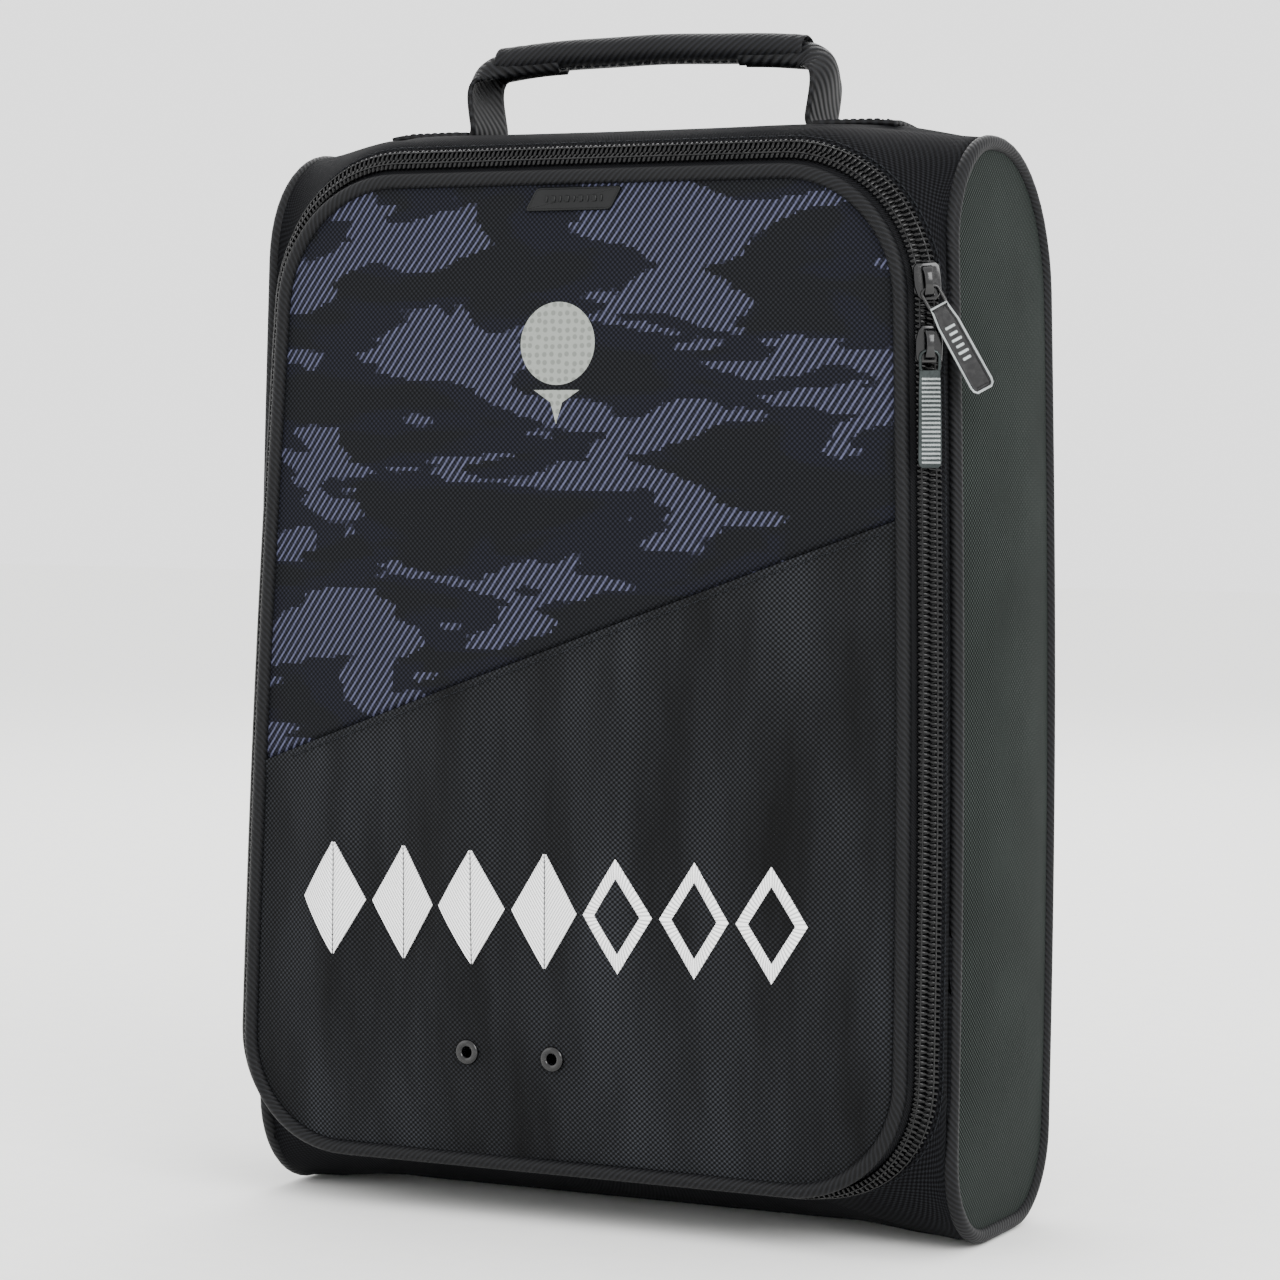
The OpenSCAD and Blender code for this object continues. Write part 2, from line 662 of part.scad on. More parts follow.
top_panel();
bottom_panel();
back_panel();
front_frame();
side_panel_left();
side_panel_right();
side_piping_left();
side_piping_right();
wrap_padding();
side_padding_left();
side_padding_right();
wrap_lining();
side_lining_left();
side_lining_right();
seam_binding_left();
seam_binding_right();
base_board();
handle_reinforcement();
handle_tab_left();
handle_tab_right();
zip_tape_body();
zip_coil_body();
zip_end_patch_left();
zip_end_patch_right();
hinge_band();
door_panel_upper();
door_panel_lower();
door_padding();
door_lining();
door_piping();
zip_tape_door();
zip_coil_door();
eyelet_left();
eyelet_right();
eyelet_washer_left();
eyelet_washer_right();
rubber_tag();
emblem_print();
diamond_embroidery();
slider_upper();
slider_lower();
pull_upper();
pull_lower();
handle_webbing();
grip_sleeve();
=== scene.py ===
"""Golf shoe bag: a padded fabric box with a zipped front door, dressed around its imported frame."""

from __future__ import annotations

import logging
import math
from dataclasses import dataclass, field
from enum import Enum
from typing import Sequence

import bmesh
import bpy
import numpy as np
from mathutils import Matrix, Vector
from mathutils.bvhtree import BVHTree


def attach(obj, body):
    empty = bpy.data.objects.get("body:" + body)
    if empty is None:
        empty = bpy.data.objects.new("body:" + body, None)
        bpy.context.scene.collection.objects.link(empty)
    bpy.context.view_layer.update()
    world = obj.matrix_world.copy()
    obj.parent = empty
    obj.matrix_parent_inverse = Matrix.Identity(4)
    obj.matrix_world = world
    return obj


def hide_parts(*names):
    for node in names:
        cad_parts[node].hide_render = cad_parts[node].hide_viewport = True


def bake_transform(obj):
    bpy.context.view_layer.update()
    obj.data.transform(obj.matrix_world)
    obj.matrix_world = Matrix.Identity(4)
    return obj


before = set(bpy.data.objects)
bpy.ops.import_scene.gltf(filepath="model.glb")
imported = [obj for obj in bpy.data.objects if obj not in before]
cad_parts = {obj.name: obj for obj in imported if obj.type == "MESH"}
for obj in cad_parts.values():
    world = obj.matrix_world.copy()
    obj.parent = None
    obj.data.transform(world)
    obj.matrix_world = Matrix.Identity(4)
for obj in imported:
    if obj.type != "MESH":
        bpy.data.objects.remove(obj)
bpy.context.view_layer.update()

MM = 0.001
CLOTH_MAP = "ClothMM"
# Edges of cloth that turn by less than this many degrees are shaded smooth
SOFT_EDGE = 60.0
# Pressure and length of the simulation that fills a pad
PAD_PRESSURE = 4.0
PAD_FRAMES = 20
LOG = logging.getLogger("shoe_bag")


# ---------------------------------------------------------------- colours and finishes


def linear(code: str) -> tuple[float, float, float, float]:
    """Turns an sRGB colour into the linear one that a shader takes.

    Args:
        code: The colour as a hex string, such as "#1a2b3c".

    Returns:
        Linear red, green, blue and an alpha of 1.
    """
    parts = [int(code[i : i + 2], 16) / 255 for i in (1, 3, 5)]
    low = [c / 12.92 if c <= 0.04045 else ((c + 0.055) / 1.055) ** 2.4 for c in parts]
    return (low[0], low[1], low[2], 1.0)


class Surface:
    """A material being built round one principled shader."""

    def __init__(self, name: str, values: dict[str, float]) -> None:
        """Starts the material.

        Args:
            name: The material's name.
            values: Values for the shader's own sockets.
        """
        self.material = bpy.data.materials.new(name)
        self.material.use_nodes = True
        self.tree = self.material.node_tree
        self.tree.nodes.clear()
        self.shader = self.add("BsdfPrincipled", values)
        self.add("OutputMaterial", {"Surface": self.shader})

    def add(self, kind: str, inputs: dict | Sequence = (), **settings: object) -> bpy.types.Node:
        """Adds one node.

        Args:
            kind: The node's type name, without the ShaderNode at its start.
            inputs: Values, sockets or nodes for its inputs, in order or by name. A node gives output 0.
            settings: Properties of the node itself.

        Returns:
            The new node.
        """
        node = self.tree.nodes.new("ShaderNode" + kind)
        for key, value in settings.items():
            setattr(node, key, value)
        for key, value in inputs.items() if isinstance(inputs, dict) else enumerate(inputs):
            if isinstance(value, bpy.types.Node):
                value = value.outputs[0]
            if isinstance(value, bpy.types.NodeSocket):
                self.tree.links.new(value, node.inputs[key])
            else:
                node.inputs[key].default_value = value
        return node

    def cover(
        self,
        share: bpy.types.Node,
        colours: Sequence,
        height: bpy.types.Node,
        strength: float,
        relief_mm: float,
    ) -> bpy.types.Material:
        """Gives the surface its colour and relief, which ends the work on it.

        Args:
            share: How much of the second colour shows.
            colours: The two colours.
            height: The height of the relief.
            strength: How strongly the relief shows.
            relief_mm: How deep the relief is.

        Returns:
            The material.
        """
        mixed = {"Factor": share, "A": colours[0], "B": colours[1]}
        colour = self.add("Mix", mixed, data_type="RGBA").outputs["Result"]
        bump = self.add("Bump", {"Height": height, "Strength": strength, "Distance": relief_mm * MM})
        self.tree.links.new(colour, self.shader.inputs["Base Color"])
        self.tree.links.new(bump.outputs[0], self.shader.inputs["Normal"])
        return self.material


class Weave(Enum):
    """How the threads of a cloth cross."""

    PLAIN = "plain"
    TWILL = "twill"
    RIB = "rib"
    HERRINGBONE = "herringbone"


@dataclass(frozen=True)
class Cloth:
    """Woven synthetic yarn: matt, lighter where its threads come to the top: the thread colour is painted
    highlight on the raised threads and the base colour painted shade between them.

    streak_rate is how many light and dark passages lie in a metre, across and up, and mottle how strong they
    are. On most cloths they are random tone; on the door they are painted shade standing in for the shading
    of its folds.
    thread_mm is the drawn thread spacing. The real cloths have 0.3 to 0.5 mm, which is too
    fine to show, so they are drawn at about twice that.
    """

    name: str
    colour: str
    thread: str
    thread_mm: float
    weave: Weave = Weave.PLAIN
    roughness: float = 0.82
    gloss: float = 0.06
    relief_mm: float = 0.12
    mottle_and_fold_shade: float = 0.35
    streak_rate: tuple[float, float] = (22.0, 22.0)

    def pattern(self, surface: Surface) -> bpy.types.Node:
        """Draws the height of the threads, from -1 to 1.

        Args:
            surface: The material being built.

        Returns:
            The node that gives the height.
        """
        place = surface.add("UVMap", uv_map=CLOTH_MAP)
        across, along = surface.add("SeparateXYZ", (place,)).outputs[:2]
        turn = math.pi / self.thread_mm
        if self.weave is Weave.TWILL:
            across = surface.add("Math", (across, along), operation="ADD")
        if self.weave is Weave.HERRINGBONE:
            folded = surface.add("Math", (across, 4 * self.thread_mm), operation="PINGPONG")
            along = surface.add("Math", (along, folded), operation="ADD")
        waves = []
        for axis, rate in ((across, turn), (along, turn if self.weave is Weave.PLAIN else 2 * turn)):
            angle = surface.add("Math", (axis, rate), operation="MULTIPLY")
            waves.append(surface.add("Math", (angle,), operation="SINE"))
        if self.weave is Weave.PLAIN:
            return surface.add("Math", waves, operation="MULTIPLY")
        return waves[0] if self.weave is Weave.TWILL else waves[1]

    def dress(self) -> bpy.types.Material:
        """Builds the material."""
        surface = Surface(self.name, {"Roughness": self.roughness, "Specular IOR Level": self.gloss})
        height = self.pattern(surface)
        # Broad light and dark passages: random tone on most cloths, and on the door painted shade standing in
        # for the shading of its folds
        where = surface.add("TexCoord").outputs["Object"]
        level, upright = self.streak_rate
        spread = surface.add("VectorMath", (where, (level, level, upright)), operation="MULTIPLY")
        cloud = surface.add("TexNoise", {"Vector": spread, "Scale": 1.0, "Detail": 4.0})
        # Painted highlight and shade: the thread colour where the threads rise, the base colour in the
        # hollows between them
        lift = surface.add("MapRange", (height, -0.4, 1.0, 0.0, 1.0))
        shade = surface.add("MapRange", (cloud, 0.3, 0.7, 1 - self.mottle_and_fold_shade, 1.0))
        share = surface.add("Math", (lift, shade), operation="MULTIPLY")
        return surface.cover(share, (linear(self.colour), linear(self.thread)), height, 0.55, self.relief_mm)


@dataclass(frozen=True)
class CamouflageCloth:
    """Jacquard polyester: charcoal plain weave with camouflage patches of lavender diagonal threads.

    The patches run across the door, nearly three times as long as they are high, and their
    edges step from thread to thread. The diagonal threads lie 2 mm apart.
    """

    name: str
    charcoal: str
    navy: str
    thread: str
    thread_mm: float = 0.85
    stripe_mm: float = 2.0
    stripe_slope: float = math.radians(57)
    edge_step_mm: float = 1.2
    patch_mm: tuple[float, float] = (84.0, 30.0)
    patch_share: float = 0.535
    seed: float = 7.3

    def patches(self, surface: Surface, place: bpy.types.Node) -> list[bpy.types.Node]:
        """Draws smooth clouds through a coarse grid, so that their edges step.

        Args:
            surface: The material being built.
            place: The cloth coordinates.

        Returns:
            The mask of the lavender patches, and that of the navy ground round them.
        """
        step = (self.edge_step_mm * 1.6, self.edge_step_mm, 1.0)
        stepped = surface.add("VectorMath", (place, step), operation="SNAP")
        scale = (1 / self.patch_mm[0], 1 / self.patch_mm[1], 1.0)
        masks = []
        for share, soft, shift in ((self.patch_share, 0.003, 0.0), (self.patch_share - 0.065, 0.02, 0.11)):
            stretched = surface.add("VectorMath", (stepped, scale), operation="MULTIPLY")
            start = (self.seed + shift, self.seed, 0.0)
            spot = surface.add("VectorMath", (stretched, start), operation="ADD")
            look = {"Vector": spot, "Scale": 1.5, "Detail": 2.6, "Roughness": 0.48, "Distortion": 0.45}
            cloud = surface.add("TexNoise", look)
            masks.append(surface.add("MapRange", (cloud, share - soft, share + soft)))
        return masks

    def dress(self) -> bpy.types.Material:
        """Builds the material."""
        surface = Surface(self.name, {"Roughness": 0.8, "Specular IOR Level": 0.1})
        place = surface.add("UVMap", uv_map=CLOTH_MAP)
        turn = math.pi / self.thread_mm
        angles = surface.add("VectorMath", (place, (turn, turn, 1.0)), operation="MULTIPLY")
        sines = surface.add("VectorMath", (angles,), operation="SINE")
        waves = surface.add("SeparateXYZ", (sines,)).outputs[:2]
        height = surface.add("Math", waves, operation="MULTIPLY")
        lavender, navy = self.patches(surface, place)

        # Diagonal threads, each broken a little by the weft that crosses it
        slant = (
            math.sin(self.stripe_slope) / self.stripe_mm, -math.cos(self.stripe_slope) / self.stripe_mm, 0.0
        )
        run = surface.add("VectorMath", (place, slant), operation="DOT_PRODUCT").outputs["Value"]
        turns = surface.add("Math", (run, 2 * math.pi), operation="MULTIPLY")
        wave = surface.add("Math", (turns,), operation="SINE")
        line = surface.add("MapRange", (wave, 0.25, 0.9, 0.03, 1.0))
        broken = surface.add("MapRange", (height, -1.0, 0.4, 0.55, 1.0))
        drawn = surface.add("Math", (line, broken), operation="MULTIPLY")
        patch = surface.add("Math", (drawn, lavender), operation="MULTIPLY")

        mixed = {"Factor": navy, "A": linear(self.charcoal), "B": linear(self.navy)}
        ground = surface.add("Mix", mixed, data_type="RGBA").outputs["Result"]
        # Painted highlight and shade on the weave: the ground is lightened where the threads rise and
        # darkened between them
        lift = surface.add("MapRange", (height, -0.4, 1.0, 0.25, 2.2))
        woven = surface.add("VectorMath", {0: ground, "Scale": lift}, operation="SCALE")
        return surface.cover(patch, (woven, linear(self.thread)), height, 0.5, 0.12)


@dataclass(frozen=True)
class Satin:
    """Rayon embroidery thread laid side by side: bright, with a soft streak along each thread and painted
    shade where one thread meets the next.
    """

    name: str
    colour: str
    shade: str
    thread_mm: float = 1.3

    def dress(self) -> bpy.types.Material:
        """Builds the material."""
        shine = {"Roughness": 0.42, "Sheen Weight": 0.25, "Sheen Roughness": 0.3, "Specular IOR Level": 0.5}
        surface = Surface(self.name, shine)
        place = surface.add("UVMap", uv_map=CLOTH_MAP)
        along = surface.add("SeparateXYZ", (place,)).outputs[1]
        angle = surface.add("Math", (along, 2 * math.pi / self.thread_mm), operation="MULTIPLY")
        wave = surface.add("Math", (angle,), operation="SINE")
        # Painted shade: the shade colour fills the groove where one thread meets the next
        lift = surface.add("MapRange", (wave, -1.0, 0.1))
        return surface.cover(lift, (linear(self.shade), linear(self.colour)), wave, 0.7, 0.15)


@dataclass(frozen=True)
class Solid:
    """Moulded, cast or cut material: lacquered zinc, nylon, rubber, foam or board.

    grain_mm is the size of its surface grain, from a cast skin's fine ripple to open foam cells.
    """

    name: str
    colour: str
    worn: str
    roughness: float
    grain_mm: float
    relief_mm: float
    metallic: float = 0.0
    gloss: float = 0.5

    def dress(self) -> bpy.types.Material:
        """Builds the material."""
        shine = {"Roughness": self.roughness, "Metallic": self.metallic, "Specular IOR Level": self.gloss}
        surface = Surface(self.name, shine)
        where = surface.add("TexCoord").outputs["Object"]
        grain = surface.add("TexNoise", {"Vector": where, "Scale": 1 / (self.grain_mm * MM), "Detail": 3.0})
        patch = surface.add("TexNoise", {"Vector": where, "Scale": 90.0, "Detail": 5.0})
        share = surface.add("MapRange", (patch, 0.42, 0.68, 0.0, 0.8))
        spread = (max(0.05, self.roughness - 0.08), min(1.0, self.roughness + 0.08))
        rough = surface.add("MapRange", (grain, 0.3, 0.7, *spread))
        surface.tree.links.new(rough.outputs[0], surface.shader.inputs["Roughness"])
        return surface.cover(share, (linear(self.colour), linear(self.worn)), grain, 0.4, self.relief_mm)


@dataclass(frozen=True)
class Ink:
    """Printed ink on cloth: matt and even, thinner and darker in round dimples."""

    name: str
    colour: str
    dimple: str
    pitch_mm: float = 2.7

    def dress(self) -> bpy.types.Material:
        """Builds the material."""
        surface = Surface(self.name, {"Roughness": 0.5, "Specular IOR Level": 0.3})
        place = surface.add("UVMap", uv_map=CLOTH_MAP)
        grid = {"Vector": place, "Scale": 1 / self.pitch_mm, "Randomness": 0.25}
        cells = surface.add("TexVoronoi", grid, voronoi_dimensions="2D").outputs["Distance"]
        rim = surface.add("MapRange", (cells, 0.26, 0.36))
        return surface.cover(rim, (linear(self.dimple), linear(self.colour)), rim, 0.4, 0.15)


class Finishes:
    """Every finish on the bag, by the name of the material slot that it fills."""

    def __init__(self) -> None:
        """Builds the materials."""
        # In every Cloth below, the second colour is painted highlight on the raised threads and the first
        # painted shade between them
        made = {
            # 600-denier plain weave: dull black with a fine speckle of painted highlight on the thread
            # crossings
            "wrap_fabric": Cloth("polyester_600d_black", "#030304", "#1c1d20", 0.9),
            # The same cloth in a greenish charcoal, which the soft light picks out on the sides
            "side_fabric": Cloth("polyester_600d_charcoal", "#050706", "#383f3c", 0.8),
            # Bias-cut twill round a cord: slanting ribs that break up the highlight
            "piping_fabric": Cloth(
                "polyester_twill_piping", "#060607", "#17181b", 1.1, Weave.TWILL, 0.6, gloss=0.15
            ),
            # Cross-linked polyethylene foam, cut: a dead matt face pitted with open cells
            "foam": Solid("polyethylene_foam_charcoal", "#141517", "#1e1f22", 0.9, 1.2, 0.4, gloss=0.1),
            # Light taffeta lining: smoother and a little greyer than the outside
            "lining": Cloth("polyester_taffeta_lining", "#1a1b1e", "#303236", 0.7, roughness=0.6),
            # Grosgrain: fine cross ribs, each with a painted highlight, that read as a row of dull ticks
            # along the raw seam
            "binding": Cloth("grosgrain_binding_black", "#08080a", "#1b1c20", 1.0, Weave.RIB, 0.75),
            # Extruded polyethylene sheet: even and waxy, with a soft highlight
            "board": Solid("polyethylene_board_black", "#17181a", "#26282a", 0.45, 0.8, 0.05),
            # Polypropylene webbing: coarse slanting ribs with a dull shine, from its gloss and from painted
            # highlight on each rib
            "webbing": Cloth(
                "polypropylene_webbing", "#040405", "#191a1d", 1.9, Weave.TWILL, 0.55,
                relief_mm=0.3, gloss=0.16,
            ),
            # Woven polyester tape: a small herringbone on either side of the coil
            "zip_tape": Cloth(
                "herringbone_zip_tape", "#040405", "#15161a", 1.0, Weave.HERRINGBONE, 0.65, gloss=0.12
            ),
            # Nylon monofilament: smooth and glossy, so each turn of the coil catches the light
            "zip_coil": Solid("nylon_coil_black", "#020203", "#040405", 0.2, 0.6, 0.005, gloss=0.28),
            # Jacquard polyester: the patches are woven in, so they show as diagonal threads
            "camouflage_fabric": CamouflageCloth("jacquard_camouflage", "#101114", "#111219", "#4b4d64"),
            # 300-denier plain weave, hung slack: soft upright streaks of painted shade that stand in for the
            # shading of its folds
            "door_fabric": Cloth(
                "polyester_300d_black", "#020202", "#313338", 0.85, relief_mm=0.14, gloss=0.12, mottle_and_fold_shade=0.85,
                streak_rate=(42.0, 9.0),
            ),
            # Zinc casting under black lacquer: mirror-like on the flats, worn on the edges
            "blackened_metal": Solid(
                "black_lacquered_zinc", "#030304", "#0a0a0c", 0.14, 1.5, 0.008, gloss=0.45
            ),
            # Moulded silicone rubber: satin black, softer in its highlight than the metal
            "tag_rubber": Solid("moulded_rubber_black", "#050607", "#0b0c0d", 0.36, 0.5, 0.02, gloss=0.2),
            # Heat-transfer ink: even and matt, with open dimples that show a darker skin of ink
            "print": Ink("heat_transfer_ink_grey", "#7f837e", "#686c67"),
            # Rayon satin stitch: bright white, each thread rounded, with painted shade at its edge
            "embroidery": Satin("rayon_thread_white", "#ffffff", "#a2a4a6"),
            # Twill wrapped round the grip: fine slanting ribs with a dull shine, from its gloss and from
            # painted highlight on each rib
            "grip_fabric": Cloth(
                "twill_grip_black", "#050506", "#15161a", 1.3, Weave.TWILL, 0.62, gloss=0.16
            ),
        }
        self.materials = {slot: finish.dress() for slot, finish in made.items()}
        # Spun polyester sewing thread, a shade lighter than the cloth so that each stitch reads
        self.thread = Cloth("polyester_sewing_thread", "#0c0d0f", "#26282c", 0.5, Weave.TWILL, 0.55).dress()
        # Brushed steel, inlaid as the marks on the pulls and laid as a ring of painted highlight round the
        # upper pull's face: the only bright metal
        self.plate = Solid("brushed_gunmetal_and_highlight_rim", "#8b9090", "#a3a8a8", 0.3, 0.7, 0.03, metallic=1.0).dress()
        # The straight pull's own plate, of the same metal left darker
        self.steel = Solid("dark_gunmetal", "#303434", "#414646", 0.3, 0.7, 0.03, metallic=1.0).dress()

    def __getitem__(self, slot: str) -> bpy.types.Material:
        """Gives the material that fills a slot."""
        return self.materials[slot]


# ---------------------------------------------------------------- drawing meshes


def unit(vectors: np.ndarray) -> np.ndarray:
    """Scales vectors to length 1."""
    return vectors / np.maximum(np.linalg.norm(vectors, axis=-1, keepdims=True), 1e-9)


def smooth_step(low: float, high: float, value: np.ndarray | float) -> np.ndarray:
    """Rises smoothly from 0 at low to 1 at high."""
    t = np.clip((np.asarray(value, float) - low) / (high - low), 0, 1)
    return t * t * (3 - 2 * t)


def run_length(path: np.ndarray) -> np.ndarray:
    """Gives the distance along a path at each of its points."""
    return np.concatenate([[0], np.cumsum(np.linalg.norm(np.diff(path, axis=0), axis=1))])


def along_path(at: np.ndarray, along: np.ndarray, rows: np.ndarray) -> np.ndarray:
    """Reads rows of three numbers, which lie at distances along a path, at other distances."""
    return np.stack([np.interp(at, along, rows[:, i]) for i in range(3)], -1)


def full_turn(steps: int) -> np.ndarray:
    """Gives equal steps of one turn, in radians."""
    return np.linspace(0, 2 * math.pi, steps, endpoint=False)


def circle_section(radius: float, sides: int, flat: float = 1.0) -> np.ndarray:
    """Gives a round section, its second axis scaled by flat."""
    turn = full_turn(sides)
    return np.stack([radius * np.cos(turn), radius * flat * np.sin(turn)], -1)


def rounded_section(width: float, height: float, radius: float, steps: int = 3) -> np.ndarray:
    """Gives a rounded rectangle centred on the origin.

    Args:
        width: Its size along the first axis.
        height: Its size along the second axis.
        radius: Its corner radius.
        steps: Steps along each corner.

    Returns:
        The outline's points, anticlockwise.
    """
    rows = []
    for k, (sx, sy) in enumerate(((1, 1), (-1, 1), (-1, -1), (1, -1))):
        centre = np.array([sx * (width / 2 - radius), sy * (height / 2 - radius)])
        for i in range(steps + 1):
            a = math.pi / 2 * (k + i / steps)
            rows.append(centre + radius * np.array([math.cos(a), math.sin(a)]))
    return np.array(rows)


class Draft:
    """Points in millimetres, faces and cloth coordinates of a piece being drawn."""

    def __init__(self) -> None:
        """Starts an empty drawing."""
        self.points: list[np.ndarray] = []
        self.faces: list[list[int]] = []
        self.cloth: list[np.ndarray] = []
        self.count = 0

    def add(self, points: np.ndarray) -> int:
        """Adds points and gives the number of the first."""
        points = np.asarray(points, float).reshape(-1, 3)
        first = self.count
        self.points.append(points)
        self.count += len(points)
        return first

    def grid(
        self,
        points: np.ndarray,
        cloth: np.ndarray | None = None,
        close_rows: bool = False,
        close_columns: bool = False,
    ) -> np.ndarray:
        """Adds a sheet of four-sided faces.

        Args:
            points: Rows by columns of points.
            cloth: Cloth coordinates, with a further row or column where the sheet closes.
            close_rows: Whether the last row joins the first.
            close_columns: Whether the last column joins the first.

        Returns:
            The numbers of the points, rows by columns.
        """
        rows, columns = points.shape[:2]
        index = self.add(points) + np.arange(rows * columns).reshape(rows, columns)
        wide = index
        if close_rows:
            wide = np.concatenate([wide, wide[:1]], 0)
        if close_columns:
            wide = np.concatenate([wide, wide[:, :1]], 1)
        if cloth is None:
            cloth = np.zeros((*wide.shape, 2))
        corners = [wide[:-1, :-1], wide[:-1, 1:], wide[1:, 1:], wide[1:, :-1]]
        places = [cloth[:-1, :-1], cloth[:-1, 1:], cloth[1:, 1:], cloth[1:, :-1]]
        self.faces.extend(np.stack(corners, -1).reshape(-1, 4).tolist())
        self.cloth.append(np.stack(places, -2).reshape(-1, 2))
        return index

    def cap(self, index: Sequence[int], cloth: np.ndarray | None = None) -> None:
        """Closes a ring of points with one face."""
        self.faces.append([int(i) for i in index])
        self.cloth.append(np.zeros((len(index), 2)) if cloth is None else np.asarray(cloth, float))

    def sweep(
        self,
        path: np.ndarray,
        normal: np.ndarray,
        section: np.ndarray,
        closed: bool = False,
        start_mm: float = 0.0,
    ) -> np.ndarray:
        """Sweeps a closed section along a path.

        Args:
            path: The path's points.
            normal: The direction of the section's first axis at each point.
            section: The section's points, or one section for each point of the path.
            closed: Whether the path is a loop.
            start_mm: Cloth coordinate along the path at its first point.

        Returns:
            The numbers of the points, one row for each point of the path.
        """
        if closed:
            tangent = np.roll(path, -1, 0) - np.roll(path, 1, 0)
        else:
            tangent = np.gradient(path, axis=0)
        tangent = unit(tangent)
        normal = unit(normal - tangent * np.sum(normal * tangent, -1, keepdims=True))
        side = np.cross(tangent, normal)
        if section.ndim == 2:
            section = np.broadcast_to(section, (len(path), *section.shape))
        rings = (path[:, None] + normal[:, None] * section[..., :1] + side[:, None] * section[..., 1:])
        loop = np.concatenate([path, path[:1]]) if closed else path
        along = start_mm + run_length(loop)
        first = np.concatenate([section[0], section[0][:1]])
        around = run_length(first)
        cloth = np.stack(np.meshgrid(around, along), -1)
        index = self.grid(rings, cloth, close_rows=closed, close_columns=True)
        if not closed:
            self.cap(index[0][::-1], section[0][::-1])
            self.cap(index[-1], section[-1])
        return index

    def terrace(
        self, outline: np.ndarray, levels: Sequence[tuple[float, float]], place: Matrix | None = None
    ) -> None:
        """Adds a plate cut in steps: the outline drawn at each level, moved inwards, and closed at both ends.

        Args:
            outline: The plate's outline, anticlockwise, in its own x and y.
            levels: How far inwards and how high each ring lies.
            place: Where the plate goes.
        """
        ahead = unit(np.roll(outline, -1, 0) - outline)
        behind = np.roll(ahead, 1, 0)
        inward = unit(np.stack([-(ahead + behind)[:, 1], (ahead + behind)[:, 0]], -1))
        mitre = 1 / np.maximum(np.sum(inward * np.stack([-ahead[:, 1], ahead[:, 0]], -1), -1), 0.5)
        rings = np.array(
            [
                np.column_stack([outline + inward * (mitre * inset)[:, None], np.full(len(outline), height)])
                for inset, height in levels
            ]
        )
        flat = np.concatenate([rings, rings[:, :1]], 1)
        index = self.grid(moved(rings, place), flat[..., :2], close_columns=True)
        self.cap(index[0][::-1], rings[0][::-1, :2])
        self.cap(index[-1], rings[-1][:, :2])

    def lathe(self, profile: Sequence[tuple[float, float]], sides: int, place: Matrix) -> None:
        """Turns a closed profile of (radius, height) about the local z axis."""
        turn = full_turn(sides)
        shape = np.array(profile)
        rings = np.stack(
            [
                np.outer(np.cos(turn), shape[:, 0]),
                np.outer(np.sin(turn), shape[:, 0]),
                np.broadcast_to(shape[:, 1], (sides, len(shape))),
            ],
            -1,
        )
        self.grid(moved(rings, place), close_rows=True, close_columns=True)

    def build(self, name: str, material: bpy.types.Material, sharp: float = 40.0) -> bpy.types.Object:
        """Makes the drawing an object.

        Args:
            name: The object's name.
            material: Its material.
            sharp: Edges that turn by more than this many degrees stay sharp.

        Returns:
            The object, in metres.
        """
        mesh = bpy.data.meshes.new(name)
        mesh.from_pydata((np.concatenate(self.points) * MM).tolist(), [], self.faces)
        layer = mesh.uv_layers.new(name=CLOTH_MAP)
        layer.data.foreach_set("uv", np.concatenate(self.cloth).astype(np.float32).ravel())
        mesh.materials.append(material)
        mesh.validate()
        mesh.shade_smooth()
        mesh.set_sharp_from_angle(angle=math.radians(sharp))
        obj = bpy.data.objects.new(name, mesh)
        bpy.context.scene.collection.objects.link(obj)
        return obj

    def solid(self, name: str, material: bpy.types.Material, sharp: float = 40.0) -> bpy.types.Object:
        """Makes the drawing a closed object, with all its faces turned outwards."""
        obj = self.build(name, material, sharp)
        sheet = bmesh.new()
        sheet.from_mesh(obj.data)
        bmesh.ops.recalc_face_normals(sheet, faces=sheet.faces)
        sheet.to_mesh(obj.data)
        sheet.free()
        return obj


def moved(points: np.ndarray, place: Matrix | None) -> np.ndarray:
    """Moves points by a matrix in millimetres."""
    if place is None:
        return points
    m = np.array(place)
    return points @ m[:3, :3].T + m[:3, 3]


def merge_points(obj: bpy.types.Object, gap_mm: float) -> None:
    """Joins the points of an object's mesh that lie closer than a gap."""
    sheet = bmesh.new()
    sheet.from_mesh(obj.data)
    bmesh.ops.remove_doubles(sheet, verts=sheet.verts, dist=gap_mm * MM)
    sheet.to_mesh(obj.data)
    sheet.free()


def face_out(obj: bpy.types.Object, centre: Sequence[float]) -> None:
    """Turns the faces of an open sheet away from a point inside, in millimetres."""
    inside = Vector(centre) * MM
    total = sum((f.center - inside).dot(f.normal) * f.area for f in obj.data.polygons)
    if total < 0:
        obj.data.flip_normals()


def apply_modifiers(obj: bpy.types.Object) -> None:
    """Makes the result of an object's modifiers its own mesh."""
    graph = bpy.context.evaluated_depsgraph_get()
    mesh = bpy.data.meshes.new_from_object(obj.evaluated_get(graph), depsgraph=graph)
    obj.modifiers.clear()
    obj.data = mesh


def thicken(obj: bpy.types.Object, thickness_mm: float) -> None:
    """Gives an open sheet its thickness, inwards from the side that its faces show."""
    solid = obj.modifiers.new("Thickness", "SOLIDIFY")
    solid.thickness = thickness_mm * MM
    solid.offset = -1
    solid.use_rim = True
    apply_modifiers(obj)


def subdivide(obj: bpy.types.Object, levels: int = 1) -> None:
    """Refines a mesh with a subdivision surface."""
    refine = obj.modifiers.new("Refine", "SUBSURF")
    refine.levels = levels
    refine.render_levels = levels
    apply_modifiers(obj)


